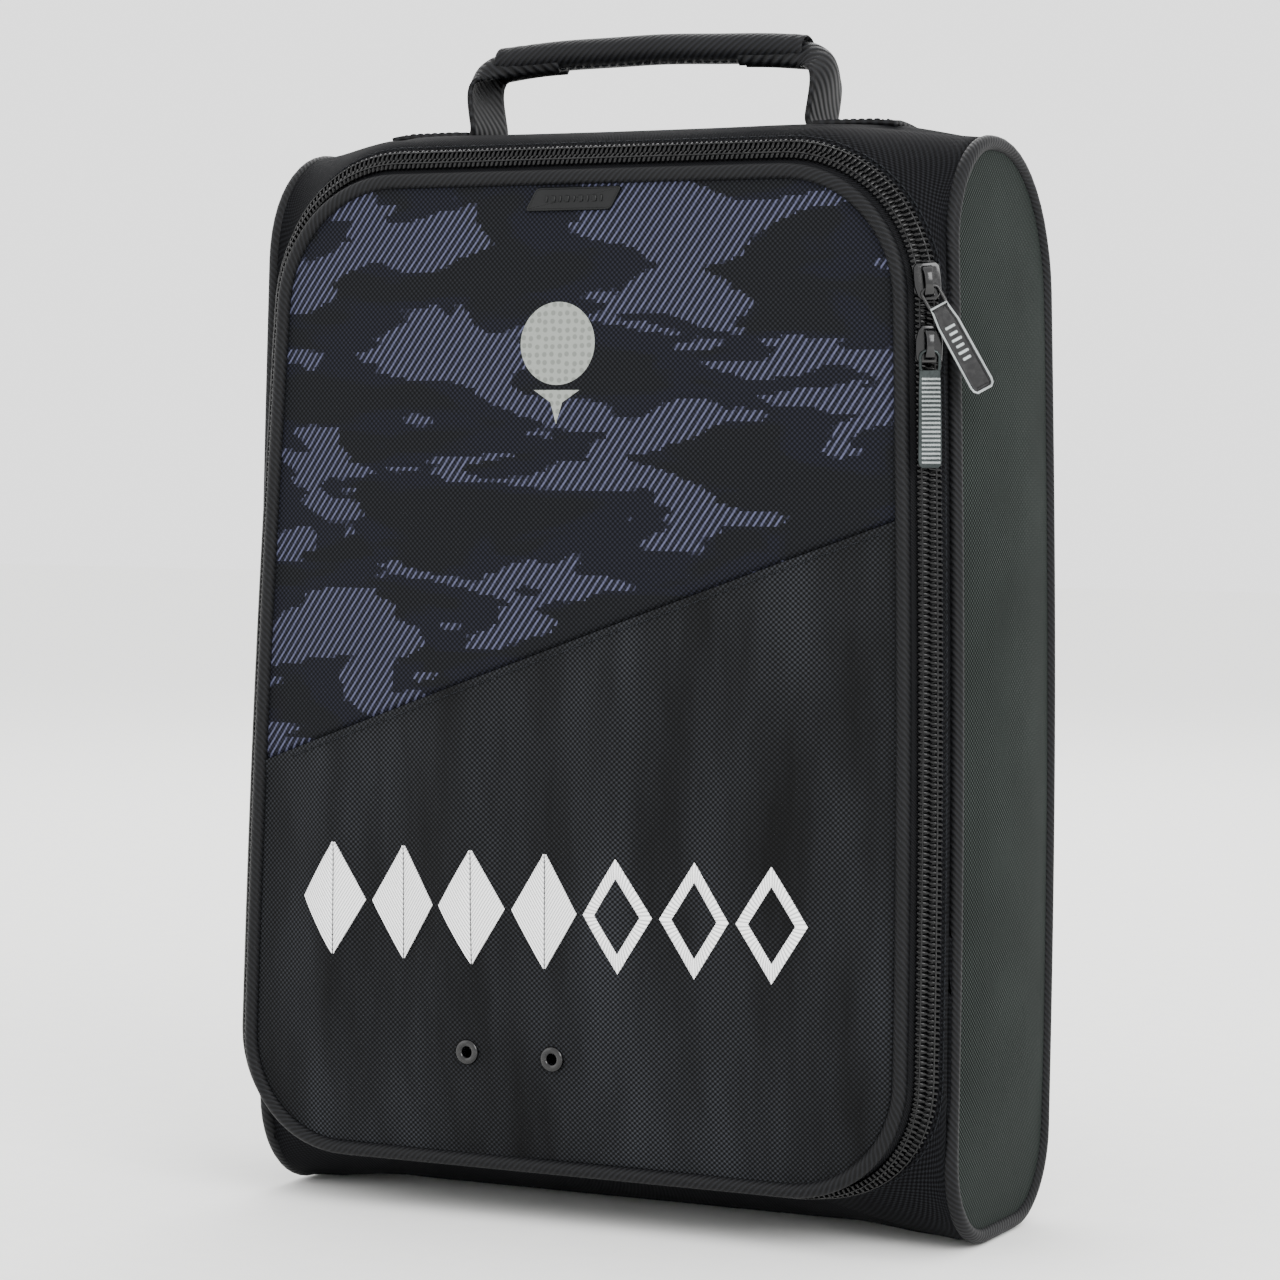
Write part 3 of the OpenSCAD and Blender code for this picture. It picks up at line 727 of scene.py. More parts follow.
def cloth_sheet(
    name: str,
    material: bpy.types.Material,
    points: np.ndarray,
    cloth: np.ndarray,
    centre: Sequence[float],
    thickness_mm: float,
) -> bpy.types.Object:
    """Builds an open sheet of cloth that faces away from a point inside.

    Args:
        name: The sheet's name.
        material: Its material.
        points: Rows by columns of points on its outer side.
        cloth: Their cloth coordinates.
        centre: The point inside, in millimetres.
        thickness_mm: How far it reaches inwards.

    Returns:
        The sheet.
    """
    draft = Draft()
    draft.grid(points, cloth)
    obj = draft.build(name, material, SOFT_EDGE)
    face_out(obj, centre)
    thicken(obj, thickness_mm)
    return obj


def cut_out(obj: bpy.types.Object, cutter: bpy.types.Object) -> None:
    """Cuts one closed mesh out of another."""
    cut = obj.modifiers.new("Hole", "BOOLEAN")
    cut.operation = "DIFFERENCE"
    cut.solver = "EXACT"
    cut.object = cutter
    apply_modifiers(obj)


def inflate(obj: bpy.types.Object, held: Sequence[int], pressure: float, cap_mm: float) -> None:
    """Fills a closed pad by cloth simulation, with some of its points held.

    Args:
        obj: The pad.
        held: Numbers of the points that stay where they are.
        pressure: Pressure inside the pad.
        cap_mm: The furthest that a point may move.
    """
    scene = bpy.context.scene
    count = len(obj.data.vertices)
    start = np.zeros(count * 3, np.float32)
    obj.data.vertices.foreach_get("co", start)
    pins = obj.vertex_groups.new(name="held")
    pins.add([int(i) for i in held], 1.0, "REPLACE")
    cloth = obj.modifiers.new("Cloth", "CLOTH")
    cloth.settings.quality = 6
    cloth.settings.mass = 0.3
    cloth.settings.tension_stiffness = 12
    cloth.settings.compression_stiffness = 12
    cloth.settings.shear_stiffness = 8
    cloth.settings.bending_stiffness = 2
    cloth.settings.vertex_group_mass = "held"
    cloth.settings.use_pressure = True
    cloth.settings.uniform_pressure_force = pressure
    cloth.settings.effector_weights.gravity = 0
    cloth.point_cache.frame_start = 1
    cloth.point_cache.frame_end = PAD_FRAMES
    for step in range(1, PAD_FRAMES + 1):
        scene.frame_set(step)
    shaped = obj.evaluated_get(bpy.context.evaluated_depsgraph_get())
    end = np.zeros(count * 3, np.float32)
    shaped.data.vertices.foreach_get("co", end)
    obj.modifiers.clear()
    obj.vertex_groups.clear()
    scene.frame_set(1)
    move = (end - start).reshape(-1, 3)
    far = np.linalg.norm(move, axis=1, keepdims=True)
    move *= np.minimum(1, cap_mm * MM / np.maximum(far, 1e-9))
    obj.data.vertices.foreach_set("co", (start.reshape(-1, 3) + move).ravel())
    obj.data.update()
    LOG.info("%s filled: furthest point moved %.1f mm", obj.name, float(far.max()) / MM)


def points_of(obj: bpy.types.Object) -> np.ndarray:
    """Gives an object's points in millimetres."""
    flat = np.zeros(len(obj.data.vertices) * 3)
    obj.data.vertices.foreach_get("co", flat)
    return flat.reshape(-1, 3) / MM


def foam_pad(
    name: str, material: bpy.types.Material, sheets: Sequence[np.ndarray], cloth: np.ndarray, cap_mm: float
) -> tuple[bpy.types.Object, np.ndarray]:
    """Builds a foam pad between two sheets, and fills it by cloth simulation.

    Args:
        name: The pad's name.
        material: Its material.
        sheets: Its outer and its inner side, rows by columns of points.
        cloth: Cloth coordinates of both.
        cap_mm: The furthest that a point may move.

    Returns:
        The pad, and where the points of its outer side have come to lie.
    """
    draft = Draft()
    outer, inner = (draft.grid(points, cloth) for points in sheets)
    for a, b in (
        (outer[0], inner[0]), (inner[-1], outer[-1]),
        (inner[:, 0], outer[:, 0]), (outer[:, -1], inner[:, -1]),
    ):
        for i in range(len(a) - 1):
            draft.cap((a[i], a[i + 1], b[i + 1], b[i]))
    foam = draft.solid(name, material, SOFT_EDGE)
    border = {*outer[0], *outer[-1], *outer[:, 0], *outer[:, -1]}
    inflate(foam, [*inner.ravel(), *sorted(border)], PAD_PRESSURE, cap_mm)
    return foam, points_of(foam)[outer.ravel()].reshape(*outer.shape, 3)


def stitch_row(
    draft: Draft, path: np.ndarray, out: np.ndarray, pitch: float = 3.4, radius: float = 0.3
) -> None:
    """Adds a row of lockstitches along a path.

    Args:
        draft: The drawing that takes them.
        path: Points that the row follows, on the cloth's surface.
        out: The direction away from the cloth at each point.
        pitch: Length of a stitch with its gap.
        radius: Radius of the thread.
    """
    along = run_length(path)
    for k in range(int(along[-1] / pitch)):
        at = (k + np.array([0.12, 0.2, 0.5, 0.8, 0.88])) * pitch
        line = along_path(at, along, path)
        up = unit(along_path(at, along, out))
        rise = radius * np.array([-0.6, 0.25, 0.45, 0.25, -0.6])
        size = np.array([0.35, 0.9, 1.0, 0.9, 0.35])
        section = circle_section(radius, 6)[None] * size[:, None, None]
        draft.sweep(line + up * rise[:, None], up, section)


def finish_piece(
    obj: bpy.types.Object, body: str, nodes: Sequence[str] = ()
) -> bpy.types.Object:
    """Puts a piece on the body that it rides on, hides the CAD nodes that it stands for and logs how many
    faces it has.

    Args:
        obj: The piece.
        body: The body that it moves with.
        nodes: CAD nodes that it stands for.

    Returns:
        The piece.
    """
    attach(obj, body)
    if nodes:
        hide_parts(*nodes)
    LOG.info("%s on %s: %d faces", obj.name, body, len(obj.data.polygons))
    return obj


# ---------------------------------------------------------------- the bag's own lines


@dataclass(frozen=True)
class Slouch:
    """How the filled bag leaves its drawn lines, in millimetres.

    The door hangs over to the left at its foot, and the sides of the body bow out.
    """

    height: float = 330.0
    right_lean: float = 1.0
    left_lean: float = 12.0
    bow: float = 2.2
    half_width: float = 126.0

    def door(self, points: np.ndarray) -> np.ndarray:
        """Moves points of the door and the zip."""
        share = 1 - smooth_step(-100, 110, points[..., 0])
        lean = self.right_lean + (self.left_lean - self.right_lean) * share
        shift = -lean * (1 - np.clip(points[..., 2], 0, self.height) / self.height)
        shift = shift + self.swing(points[..., 0], points[..., 2])
        return points + np.stack([shift, 0 * shift, 0 * shift], -1)

    def body(self, points: np.ndarray) -> np.ndarray:
        """Moves points of the body."""
        shift = self.swing(points[..., 0], points[..., 2])
        return points + np.stack([shift, 0 * shift, 0 * shift], -1)

    def swing(self, x: np.ndarray, z: np.ndarray) -> np.ndarray:
        """Gives how far the sides bow out at each place."""
        rise = np.clip(z, 0, self.height) / self.height
        return self.bow * x / self.half_width * np.sin(math.pi * rise)


SLOUCH = Slouch()


@dataclass(frozen=True)
class ZipStrip:
    """The zip's strip, which slopes back from the plane of the door: s runs outwards, h stands up.

    The strip is steeper along the top and the bottom than along the sides.
    """

    door_y: float = -57.0
    tuck: float = 3.0
    middle: float = 8.0
    end: float = 12.2
    right: float = math.radians(30)
    left: float = math.radians(56)
    top: float = math.radians(38)
    bottom: float = math.radians(82)

    def slope(self, outward: np.ndarray) -> np.ndarray:
        """Gives the strip's slope where the door's outline faces each way."""
        side = np.where(outward[..., 0] > 0, self.right, self.left)
        level = np.where(outward[..., 1] > 0, self.top, self.bottom)
        share = outward[..., 1] ** 2
        return side * (1 - share) + level * share

    def at(self, s: float, h: float, outward: np.ndarray) -> tuple[np.ndarray, np.ndarray]:
        """Gives how far outside the door's outline and how far behind the door a point lies.

        Args:
            s: Distance outwards along the strip from the door's piping.
            h: Height above the strip.
            outward: The direction that the outline faces, (x, z).

        Returns:
            Both distances, for each direction.
        """
        slope = self.slope(outward)
        return (self.tuck + s * np.cos(slope) + h * np.sin(slope), s * np.sin(slope) - h * np.cos(slope))


STRIP = ZipStrip()


@dataclass(frozen=True)
class DoorLine:
    """The door's D-shaped outline, through the middle of its piping."""

    top_x: float = 70.98
    top_z: float = 306.5
    top_r: float = 38.0
    bottom_x: float = 77.75
    bottom_z: float = 57.0
    bottom_r: float = 34.0
    corner_steps: int = 16
    side_steps: int = 40
    level_steps: int = 28

    def corners(self) -> list[tuple[float, float, float, float]]:
        """Gives each corner's centre x, centre z, radius and first angle, from the top right one on."""
        return [
            (self.top_x, self.top_z, self.top_r, 0),
            (-self.top_x, self.top_z, self.top_r, 90),
            (-self.bottom_x, self.bottom_z, self.bottom_r, 180),
            (self.bottom_x, self.bottom_z, self.bottom_r, 270),
        ]

    def loop(self, u: float) -> tuple[np.ndarray, np.ndarray]:
        """Draws the outline moved outwards by u, from the right end of the top right corner.

        Args:
            u: How far outwards.

        Returns:
            Its points (x, z) and the outward direction at each.
        """
        points, outward = [], []
        corners = self.corners()
        for k, (cx, cz, r, first) in enumerate(corners):
            turn = np.radians(first + np.linspace(0, 90, self.corner_steps + 1))
            arc = np.stack([np.cos(turn), np.sin(turn)], -1)
            ring = np.array([cx, cz]) + (r + u) * arc
            nx, nz, nr, nf = corners[(k + 1) % 4]
            heading = np.array([math.cos(math.radians(nf)), math.sin(math.radians(nf))])
            target = np.array([nx, nz]) + (nr + u) * heading
            steps = self.level_steps if k % 2 == 0 else self.side_steps
            share = np.linspace(0, 1, steps + 1)[1:-1, None]
            points += [ring, ring[-1] + share * (target - ring[-1])]
            outward += [arc, np.broadcast_to(heading, (steps - 1, 2))]
        return np.concatenate(points), np.concatenate(outward)

    def zip_line(self, s: float, h: float, end_x: float = 68.0) -> tuple[np.ndarray, np.ndarray, np.ndarray]:
        """Draws a line along the zip, from its right end round the top to its left end.

        Args:
            s: Distance outwards along the strip.
            h: Height above the strip.
            end_x: Where the zip ends, left and right.

        Returns:
            The line's points, and the directions outwards along the strip and up from it.
        """
        points, outward = self.loop(0)
        u, v = STRIP.at(s, h, outward)
        points = points + outward * u[:, None]
        first = len(points) - self.side_steps + 1 - (self.corner_steps + 1)
        points, outward, v = (np.roll(rows, -first, 0) for rows in (points, outward, v))
        keep = slice(0, len(points) - self.level_steps + 1)
        below = np.array([[0.0, -1.0]])
        foot_u, foot_v = (float(rows[0]) for rows in STRIP.at(s, h, below))
        foot = self.bottom_z - self.bottom_r - foot_u
        points = np.concatenate([[[end_x, foot]], points[keep], [[-end_x, foot]]])
        outward = np.concatenate([below, outward[keep], below])
        v = np.concatenate([[foot_v], v[keep], [foot_v]])
        out3 = np.stack([outward[:, 0], 0 * v, outward[:, 1]], -1)
        line = np.stack([points[:, 0], STRIP.door_y + v, points[:, 1]], -1)
        slope = STRIP.slope(outward)[:, None]
        back = np.array([0.0, 1.0, 0.0])
        across = out3 * np.cos(slope) + back * np.sin(slope)
        up = out3 * np.sin(slope) - back * np.cos(slope)
        return line, across, up

    def half_width(self, z: np.ndarray, inset: float) -> np.ndarray:
        """Gives half the door's width at each height, moved inwards by inset."""
        z = np.asarray(z, float)
        share = np.clip((z - self.bottom_z) / (self.top_z - self.bottom_z), 0, 1)
        side = (self.bottom_x + self.bottom_r) * (1 - share) + (self.top_x + self.top_r) * share - inset
        top = self.top_x + np.sqrt(np.clip((self.top_r - inset) ** 2 - (z - self.top_z) ** 2, 0, None))
        low = self.bottom_x + np.sqrt(
            np.clip((self.bottom_r - inset) ** 2 - (z - self.bottom_z) ** 2, 0, None)
        )
        return np.where(z > self.top_z, top, np.where(z < self.bottom_z, low, side))


DOOR = DoorLine()


@dataclass(frozen=True)
class BodyLine:
    """The body's side profile. The cloth pulls its edges rounder at the sides than in the middle."""

    height: float = 361.0
    front_y: float = -46.5
    back_y: float = 43.5
    top_half: float = 124.0
    bottom_half: float = 127.0
    front_top_r: float = 29.0
    back_top_r: float = 38.0
    front_bottom_r: float = 33.0
    back_bottom_r: float = 30.0
    side_extra_front: float = 9.0
    side_extra_back: float = 11.0
    crown: float = 4.0
    hollow: float = 3.5

    def half_w(self, z: np.ndarray) -> np.ndarray:
        """Gives half the width between the side seams at each height."""
        return self.bottom_half + (self.top_half - self.bottom_half) * np.asarray(z, float) / self.height

    def corners(self, tight: float) -> list[tuple[float, float, float]]:
        """Gives centre y, centre z and radius of the four edges, from the front top one backwards.

        Args:
            tight: 0 in the middle of the bag, 1 at its side seams.

        Returns:
            Front top, back top, back bottom and front bottom edges.
        """
        ft = self.front_top_r + self.side_extra_front * tight
        bt = self.back_top_r + self.side_extra_back * tight
        return [
            (self.front_y + ft, self.height - ft, ft),
            (self.back_y - bt, self.height - bt, bt),
            (self.back_y - self.back_bottom_r, self.back_bottom_r, self.back_bottom_r),
            (self.front_y + self.front_bottom_r, self.front_bottom_r, self.front_bottom_r),
        ]

    def ring(self, inset: float, tight: float = 1.0, steps: int = 12, run: int = 30) -> np.ndarray:
        """Draws the closed profile (y, z) moved inwards, from the front seam's top over the top and back.

        Args:
            inset: How far inwards.
            tight: 0 in the middle of the bag, 1 at its side seams.
            steps: Steps along each edge.
            run: Steps along the front and the back.

        Returns:
            The profile's points.
        """
        rows = []
        corners = self.corners(tight)
        for k, (cy, cz, r) in enumerate(corners):
            turn = np.radians(180 - 90 * k - np.linspace(0, 90, steps + 1))
            arc = np.stack([cy + (r - inset) * np.cos(turn), cz + (r - inset) * np.sin(turn)], -1)
            ny, nz, nr = corners[(k + 1) % 4]
            heading = math.radians(90 - 90 * k)
            target = np.array([ny + (nr - inset) * math.cos(heading), nz + (nr - inset) * math.sin(heading)])
            count = 3 if k % 2 == 0 else run
            share = np.linspace(0, 1, count + 1)[1:-1, None]
            rows += [arc, arc[-1] + share * (target - arc[-1])]
        return np.concatenate(rows)

    def side_span(self, z: float, inset: float) -> tuple[float, float]:
        """Gives the front and back of the side's profile at a height, moved inwards by inset."""
        (fy, fz, fr), (by, bz, br), (hy, hz, hr), (gy, gz, gr) = self.corners(1.0)

        def reach(cz: float, r: float) -> float:
            """Gives how far an edge reaches at this height."""
            return math.sqrt(max((r - inset) ** 2 - (z - cz) ** 2, 0.0))

        front = self.front_y + inset
        back = self.back_y - inset
        if z > fz:
            front = fy - reach(fz, fr)
        if z < gz:
            front = gy - reach(gz, gr)
        if z > bz:
            back = by + reach(bz, br)
        if z < hz:
            back = hy + reach(hz, hr)
        return front, back


BODY = BodyLine()


# ---------------------------------------------------------------- body


@dataclass
class WrapShell:
    """Gusset that runs round the front, top, back and bottom of the bag, with its foam and lining."""

    finishes: Finishes
    cloth_t: float = 1.1
    foam_out: float = 1.2
    foam_t: float = 3.5
    lining_out: float = 4.8
    lining_t: float = 0.6
    edge_inset: float = 1.1
    seat: float = 0.7
    across_steps: int = 10
    edge_steps: int = 12
    wall_steps: int = 30

    def columns(self) -> np.ndarray:
        """Gives where the columns of cloth lie, from the right side seam to the left one."""
        return np.linspace(1, -1, DOOR.level_steps + 1)

    def tight(self, share: np.ndarray) -> np.ndarray:
        """Gives how near the side seam a column is."""
        return smooth_step(0.55, 1.0, np.abs(share))

    def crown(self, share: np.ndarray) -> np.ndarray:
        """Gives how far the handle pulls the top up."""
        return BODY.crown * (1 - smooth_step(0.75, 1.0, np.abs(share)))

    def hollow(self, share: np.ndarray) -> np.ndarray:
        """Gives how far the base is pulled up between its side seams."""
        return BODY.hollow * (1 - smooth_step(0.7, 1.0, np.abs(share)))

    def wrap(self, depth: float) -> tuple[np.ndarray, np.ndarray]:
        """Draws the cloth from the crest of the top, over the back, to the front of the base.

        Args:
            depth: How far below the outer surface.

        Returns:
            Rows by columns of points, and their cloth coordinates.
        """
        columns = []
        for share in self.columns():
            tight = float(self.tight(share))
            inset = depth + self.seat * tight
            ring = BODY.ring(inset, tight, self.edge_steps, self.wall_steps)
            # From the end of the front top edge, over the back's two edges, to the end of the base
            arc = self.edge_steps + 1
            ring = ring[self.edge_steps : self.edge_steps + 1 + 2 + arc + self.wall_steps - 1 + arc + 2 + 1]
            y, z = ring[:, 0], ring[:, 1].copy()
            lift = float(self.crown(share)) * (1 - smooth_step(-15, 30, y)) * (z > 200)
            lift = lift + float(self.hollow(share)) * (1 - smooth_step(-12, 25, y)) * (z < 100)
            half = BODY.half_w(z) - self.edge_inset
            # The padded back swells between its seams and settles into shallow upright folds
            high = smooth_step(20, 90, z) * (1 - smooth_step(270, 335, z))
            swell = high * (1 - tight) * (y > 20) * (
                2.6 + 0.5 * math.sin(share * 9.0) + 0.4 * math.sin(share * 17 + 1)
            )
            columns.append(np.stack([share * half, y + swell, z + lift], -1))
        points = np.stack(columns, 1)
        along = run_length(points[:, points.shape[1] // 2])
        cloth = np.stack([points[..., 0], np.broadcast_to(along[:, None], points.shape[:2])], -1)
        return points, cloth

    def outer_line(self) -> tuple[np.ndarray, np.ndarray]:
        """Draws where the front cloth meets the side seams and the wrap, matched to the door's line.

        Returns:
            The points and the cloth's outward direction at each.
        """
        columns = self.columns()
        tight = self.tight(columns)
        inset = self.seat * tight
        (fy, fz, fr), _, _, (gy, gz, gr) = BODY.corners(1.0)
        turn = np.radians(np.linspace(0, 90, DOOR.corner_steps + 1))

        def edge(points: np.ndarray, sign: int) -> np.ndarray:
            """Puts a profile line (y, z) on one side seam."""
            return np.stack(
                [sign * (BODY.half_w(points[:, 1]) - self.edge_inset), points[:, 0], points[:, 1]], -1
            )

        top_arc = np.stack([fy - (fr - self.seat) * np.cos(turn), fz + (fr - self.seat) * np.sin(turn)], -1)
        low_arc = np.stack([gy - (gr - self.seat) * np.cos(turn), gz - (gr - self.seat) * np.sin(turn)], -1)
        top_n = np.stack([0 * turn, -np.cos(turn), np.sin(turn)], -1)
        low_n = top_n * np.array([1, 1, -1])
        side = np.linspace(fz, gz, DOOR.side_steps + 1)[1:-1]
        wall = np.stack([np.full(len(side), BODY.front_y + self.seat), side], -1)
        wall_n = np.broadcast_to([0.0, -1.0, 0.0], (len(side), 3))
        crest_r = BODY.front_top_r + BODY.side_extra_front * tight
        crest_z = BODY.height - inset + self.crown(columns) * (
            1 - smooth_step(-15, 30, BODY.front_y + crest_r)
        )
        crest = np.stack(
            [columns * (BODY.half_w(crest_z) - self.edge_inset), BODY.front_y + crest_r, crest_z], -1
        )[1:-1]
        foot_y = np.full(len(columns), BODY.front_y + BODY.front_bottom_r)
        foot_z = inset + self.hollow(columns) * (1 - smooth_step(-12, 25, foot_y))
        foot = np.stack([-columns * (BODY.half_w(inset) - self.edge_inset), foot_y, foot_z], -1)[1:-1]
        up = np.broadcast_to([0.0, 0.0, 1.0], (len(crest), 3))
        points = [
            edge(top_arc, 1), crest, edge(top_arc[::-1], -1), edge(wall, -1),
            edge(low_arc, -1), foot, edge(low_arc[::-1], 1), edge(wall[::-1], 1),
        ]
        normals = [top_n, up, top_n[::-1], wall_n, low_n, -up, low_n[::-1], wall_n]
        return np.concatenate(points), np.concatenate(normals)

    def front(self) -> tuple[np.ndarray, np.ndarray]:
        """Draws the cloth from the zip's outer edge back to the side seams, the top and the base.

        Returns:
            Points, one row for each step outwards, and their cloth coordinates.
        """
        outer, normal = self.outer_line()
        rows = []
        # A hem folded over the tape's edge starts the cloth
        loop, outward = DOOR.loop(0)
        for s, h in (
            (STRIP.end + 0.4, 0.45), (STRIP.end - 0.5, 0.5), (STRIP.end - 0.8, 1.0), (STRIP.end - 0.4, 1.55)
        ):
            u, v = STRIP.at(s, h, outward)
            ring = loop + outward * u[:, None]
            rows.append(SLOUCH.door(np.stack([ring[:, 0], STRIP.door_y + v, ring[:, 1]], -1)))
        start = rows[-1]
        slope = STRIP.slope(outward)
        leave = np.stack([outward[:, 0] * np.cos(slope), np.sin(slope), outward[:, 1] * np.cos(slope)], -1)
        outer = SLOUCH.body(outer)
        chord = outer - start
        length = np.linalg.norm(chord, axis=1, keepdims=True)
        arrive = chord - normal * np.sum(chord * normal, -1, keepdims=True)
        t = np.linspace(0, 1, self.across_steps + 1)[1:, None, None]
        h00, h10 = 2 * t**3 - 3 * t**2 + 1, t**3 - 2 * t**2 + t
        h01, h11 = -2 * t**3 + 3 * t**2, t**3 - t**2
        body = h00 * start + h10 * leave * length * 0.55 + h01 * outer + h11 * arrive
        points = np.concatenate([np.stack(rows), body])
        ahead = np.linalg.norm(np.roll(outer, -1, 0) - outer, axis=1)
        around = np.concatenate([[0], np.cumsum(ahead)])
        long_way = np.linalg.norm(np.diff(points, axis=0), axis=2).cumsum(0)
        across = np.concatenate([np.zeros((1, points.shape[1])), long_way])
        across = np.concatenate([across, across[:, :1]], 1)
        cloth = np.stack([np.broadcast_to(around, (len(points), len(around))), across], -1)
        return points, cloth

    def build(self) -> list[bpy.types.Object]:
        """Builds the cloth, its foam and its lining."""
        draft = Draft()
        points, cloth = self.front()
        draft.grid(points, cloth, close_columns=True)
        points, cloth = self.wrap(0)
        draft.grid(SLOUCH.body(points), cloth)
        shell = draft.build("wrap_shell", self.finishes["wrap_fabric"], SOFT_EDGE)
        merge_points(shell, 0.02)
        self.orient(shell)
        thicken(shell, self.cloth_t)
        pieces = [
            finish_piece(
                shell, "bag", ("top_panel", "bottom_panel", "back_panel", "front_frame")
            )
        ]
        for name, slot, depth, thick, node in (
            ("wrap_foam", "foam", self.foam_out, self.foam_t, "wrap_padding"),
            ("wrap_lining_cloth", "lining", self.lining_out, self.lining_t, "wrap_lining"),
        ):
            layer = Draft()
            points, cloth = self.wrap(depth)
            points[..., 0] *= 0.985
            layer.grid(SLOUCH.body(points), cloth)
            obj = layer.build(name, self.finishes[slot], SOFT_EDGE)
            self.orient(obj)
            thicken(obj, thick)
            pieces.append(finish_piece(obj, "bag", (node,)))
        return pieces

    def orient(self, obj: bpy.types.Object) -> None:
        """Turns the sheet's faces outwards, wherever they lie."""
        sheet = bmesh.new()
        sheet.from_mesh(obj.data)
        middle = Vector((0, 0, BODY.height / 2)) * MM
        spine = 120 * MM
        wrong = []
        for face in sheet.faces:
            at = face.calc_center_median()
            inside = Vector((at.x * 0.9, middle.y, min(max(at.z, middle.z - spine), middle.z + spine)))
            if (at - inside).dot(face.normal) < 0:
                wrong.append(face)
        bmesh.ops.reverse_faces(sheet, faces=wrong)
        sheet.to_mesh(obj.data)
        sheet.free()


@dataclass
class SideWall:
    """One side of the bag: a padded charcoal panel in a ring of piping."""

    finishes: Finishes
    sign: int
    bulge: float = 3.0
    cap: float = 3.5
    foam_t: float = 3.4
    piping_r: float = 2.5

    @property
    def word(self) -> str:
        """Names the side."""
        return "right" if self.sign > 0 else "left"

    def levels(self, inset: float) -> np.ndarray:
        """Gives the heights of the rows of cloth, closer together round the edges."""
        turn = np.radians(np.linspace(2, 90, 13))
        low = (BODY.front_bottom_r - inset) * (1 - np.cos(turn)) + inset
        r = BODY.back_top_r + BODY.side_extra_back - inset
        high = BODY.height - inset - r * (1 - np.cos(turn))
        return np.concatenate([low, np.linspace(low[-1], high[-1], 34)[1:-1], high[::-1]])

    def skin(self, inset: float, out: float, bulge: float) -> tuple[np.ndarray, np.ndarray]:
        """Draws a sheet that fills the ring.

        Args:
            inset: How far inside the profile its edge lies.
            out: How far outside the seam's plane it lies.
            bulge: How far its middle stands out.

        Returns:
            Rows by columns of points, and their cloth coordinates.
        """
        shares = (1 - np.cos(np.linspace(0, math.pi, 23))) / 2
        rows = []
        for z in self.levels(inset):
            front, back = BODY.side_span(z, inset)
            y = front + shares * (back - front)
            near = np.minimum(smooth_step(0, 60, z - inset), smooth_step(0, 70, BODY.height - inset - z))
            crown = bulge * near * np.clip(4 * shares * (1 - shares), 0, 1) ** 0.6
            x = self.sign * (BODY.half_w(z) + out + crown)
            rows.append(np.stack([x, y, np.full(len(y), z)], -1))
        points = np.stack(rows)
        return points, points[..., 1:]

    def build(self) -> list[bpy.types.Object]:
        """Builds the panel, its foam, lining, piping and inner binding."""
        # The foam is filled by simulation, and the panel lies on it
        middle = (self.sign * 60, 0, 180)
        skin, cloth = self.skin(3.4, -0.9, self.bulge)
        under, _ = self.skin(3.4, -0.9 - self.foam_t, 0)
        sheets = (SLOUCH.body(skin), SLOUCH.body(under))
        foam, filled = foam_pad(f"side_foam_{self.word}", self.finishes["foam"], sheets, cloth, self.cap)

        sheet = Draft()
        sheet.grid(filled + np.array([self.sign * 1.3, 0, 0]), cloth)
        panel = sheet.build(f"side_cloth_{self.word}", self.finishes["side_fabric"], SOFT_EDGE)
        face_out(panel, middle)
        subdivide(panel)
        thicken(panel, 1.1)
        points, cloth = self.skin(4.4, -1.0 - self.foam_t - 0.1, 0)
        name = f"side_lining_cloth_{self.word}"
        lining = cloth_sheet(name, self.finishes["lining"], SLOUCH.body(points), cloth, middle, 0.6)

        loop = BODY.ring(self.piping_r)
        flat = np.stack([self.sign * BODY.half_w(loop[:, 1]), loop[:, 0], loop[:, 1]], -1)
        tangent = unit(np.roll(loop, -1, 0) - np.roll(loop, 1, 0))
        outward = np.stack([0 * tangent[:, 0], -tangent[:, 1], tangent[:, 0]], -1)
        cord = Draft()
        cord.sweep(SLOUCH.body(flat), outward, circle_section(self.piping_r, 14), closed=True)
        piping = cord.solid(f"side_cord_{self.word}", self.finishes["piping_fabric"], SOFT_EDGE)

        # Binding tape over the raw seam inside the bag
        line = BODY.ring(6.2)
        raw = np.stack([self.sign * (BODY.half_w(line[:, 1]) - 9.5), line[:, 0], line[:, 1]], -1)
        tape = Draft()
        tape.sweep(SLOUCH.body(raw), outward, rounded_section(0.8, 8.0, 0.35, 2), closed=True)
        binding = tape.solid(f"seam_tape_{self.word}", self.finishes["binding"], SOFT_EDGE)
        return [
            finish_piece(foam, "bag", (f"side_padding_{self.word}",)),
            finish_piece(panel, "bag", (f"side_panel_{self.word}",)),
            finish_piece(lining, "bag", (f"side_lining_{self.word}",)),
            finish_piece(piping, "bag", (f"side_piping_{self.word}",)),
            finish_piece(binding, "bag", (f"seam_binding_{self.word}",)),
        ]


# ---------------------------------------------------------------- door


# Folds below the slanting seam: place, half width, height, and lean for each millimetre down
FOLDS = (
    (-88, 9, 2.6, 0.06), (-60, 8, -0.5, 0.05), (-38, 10, 2.6, 0.03), (-8, 12, -0.5, 0.0),
    (20, 10, 2.9, -0.02), (48, 9, -0.5, -0.04), (70, 8, 2.2, -0.06), (92, 8, -0.4, -0.06),
)


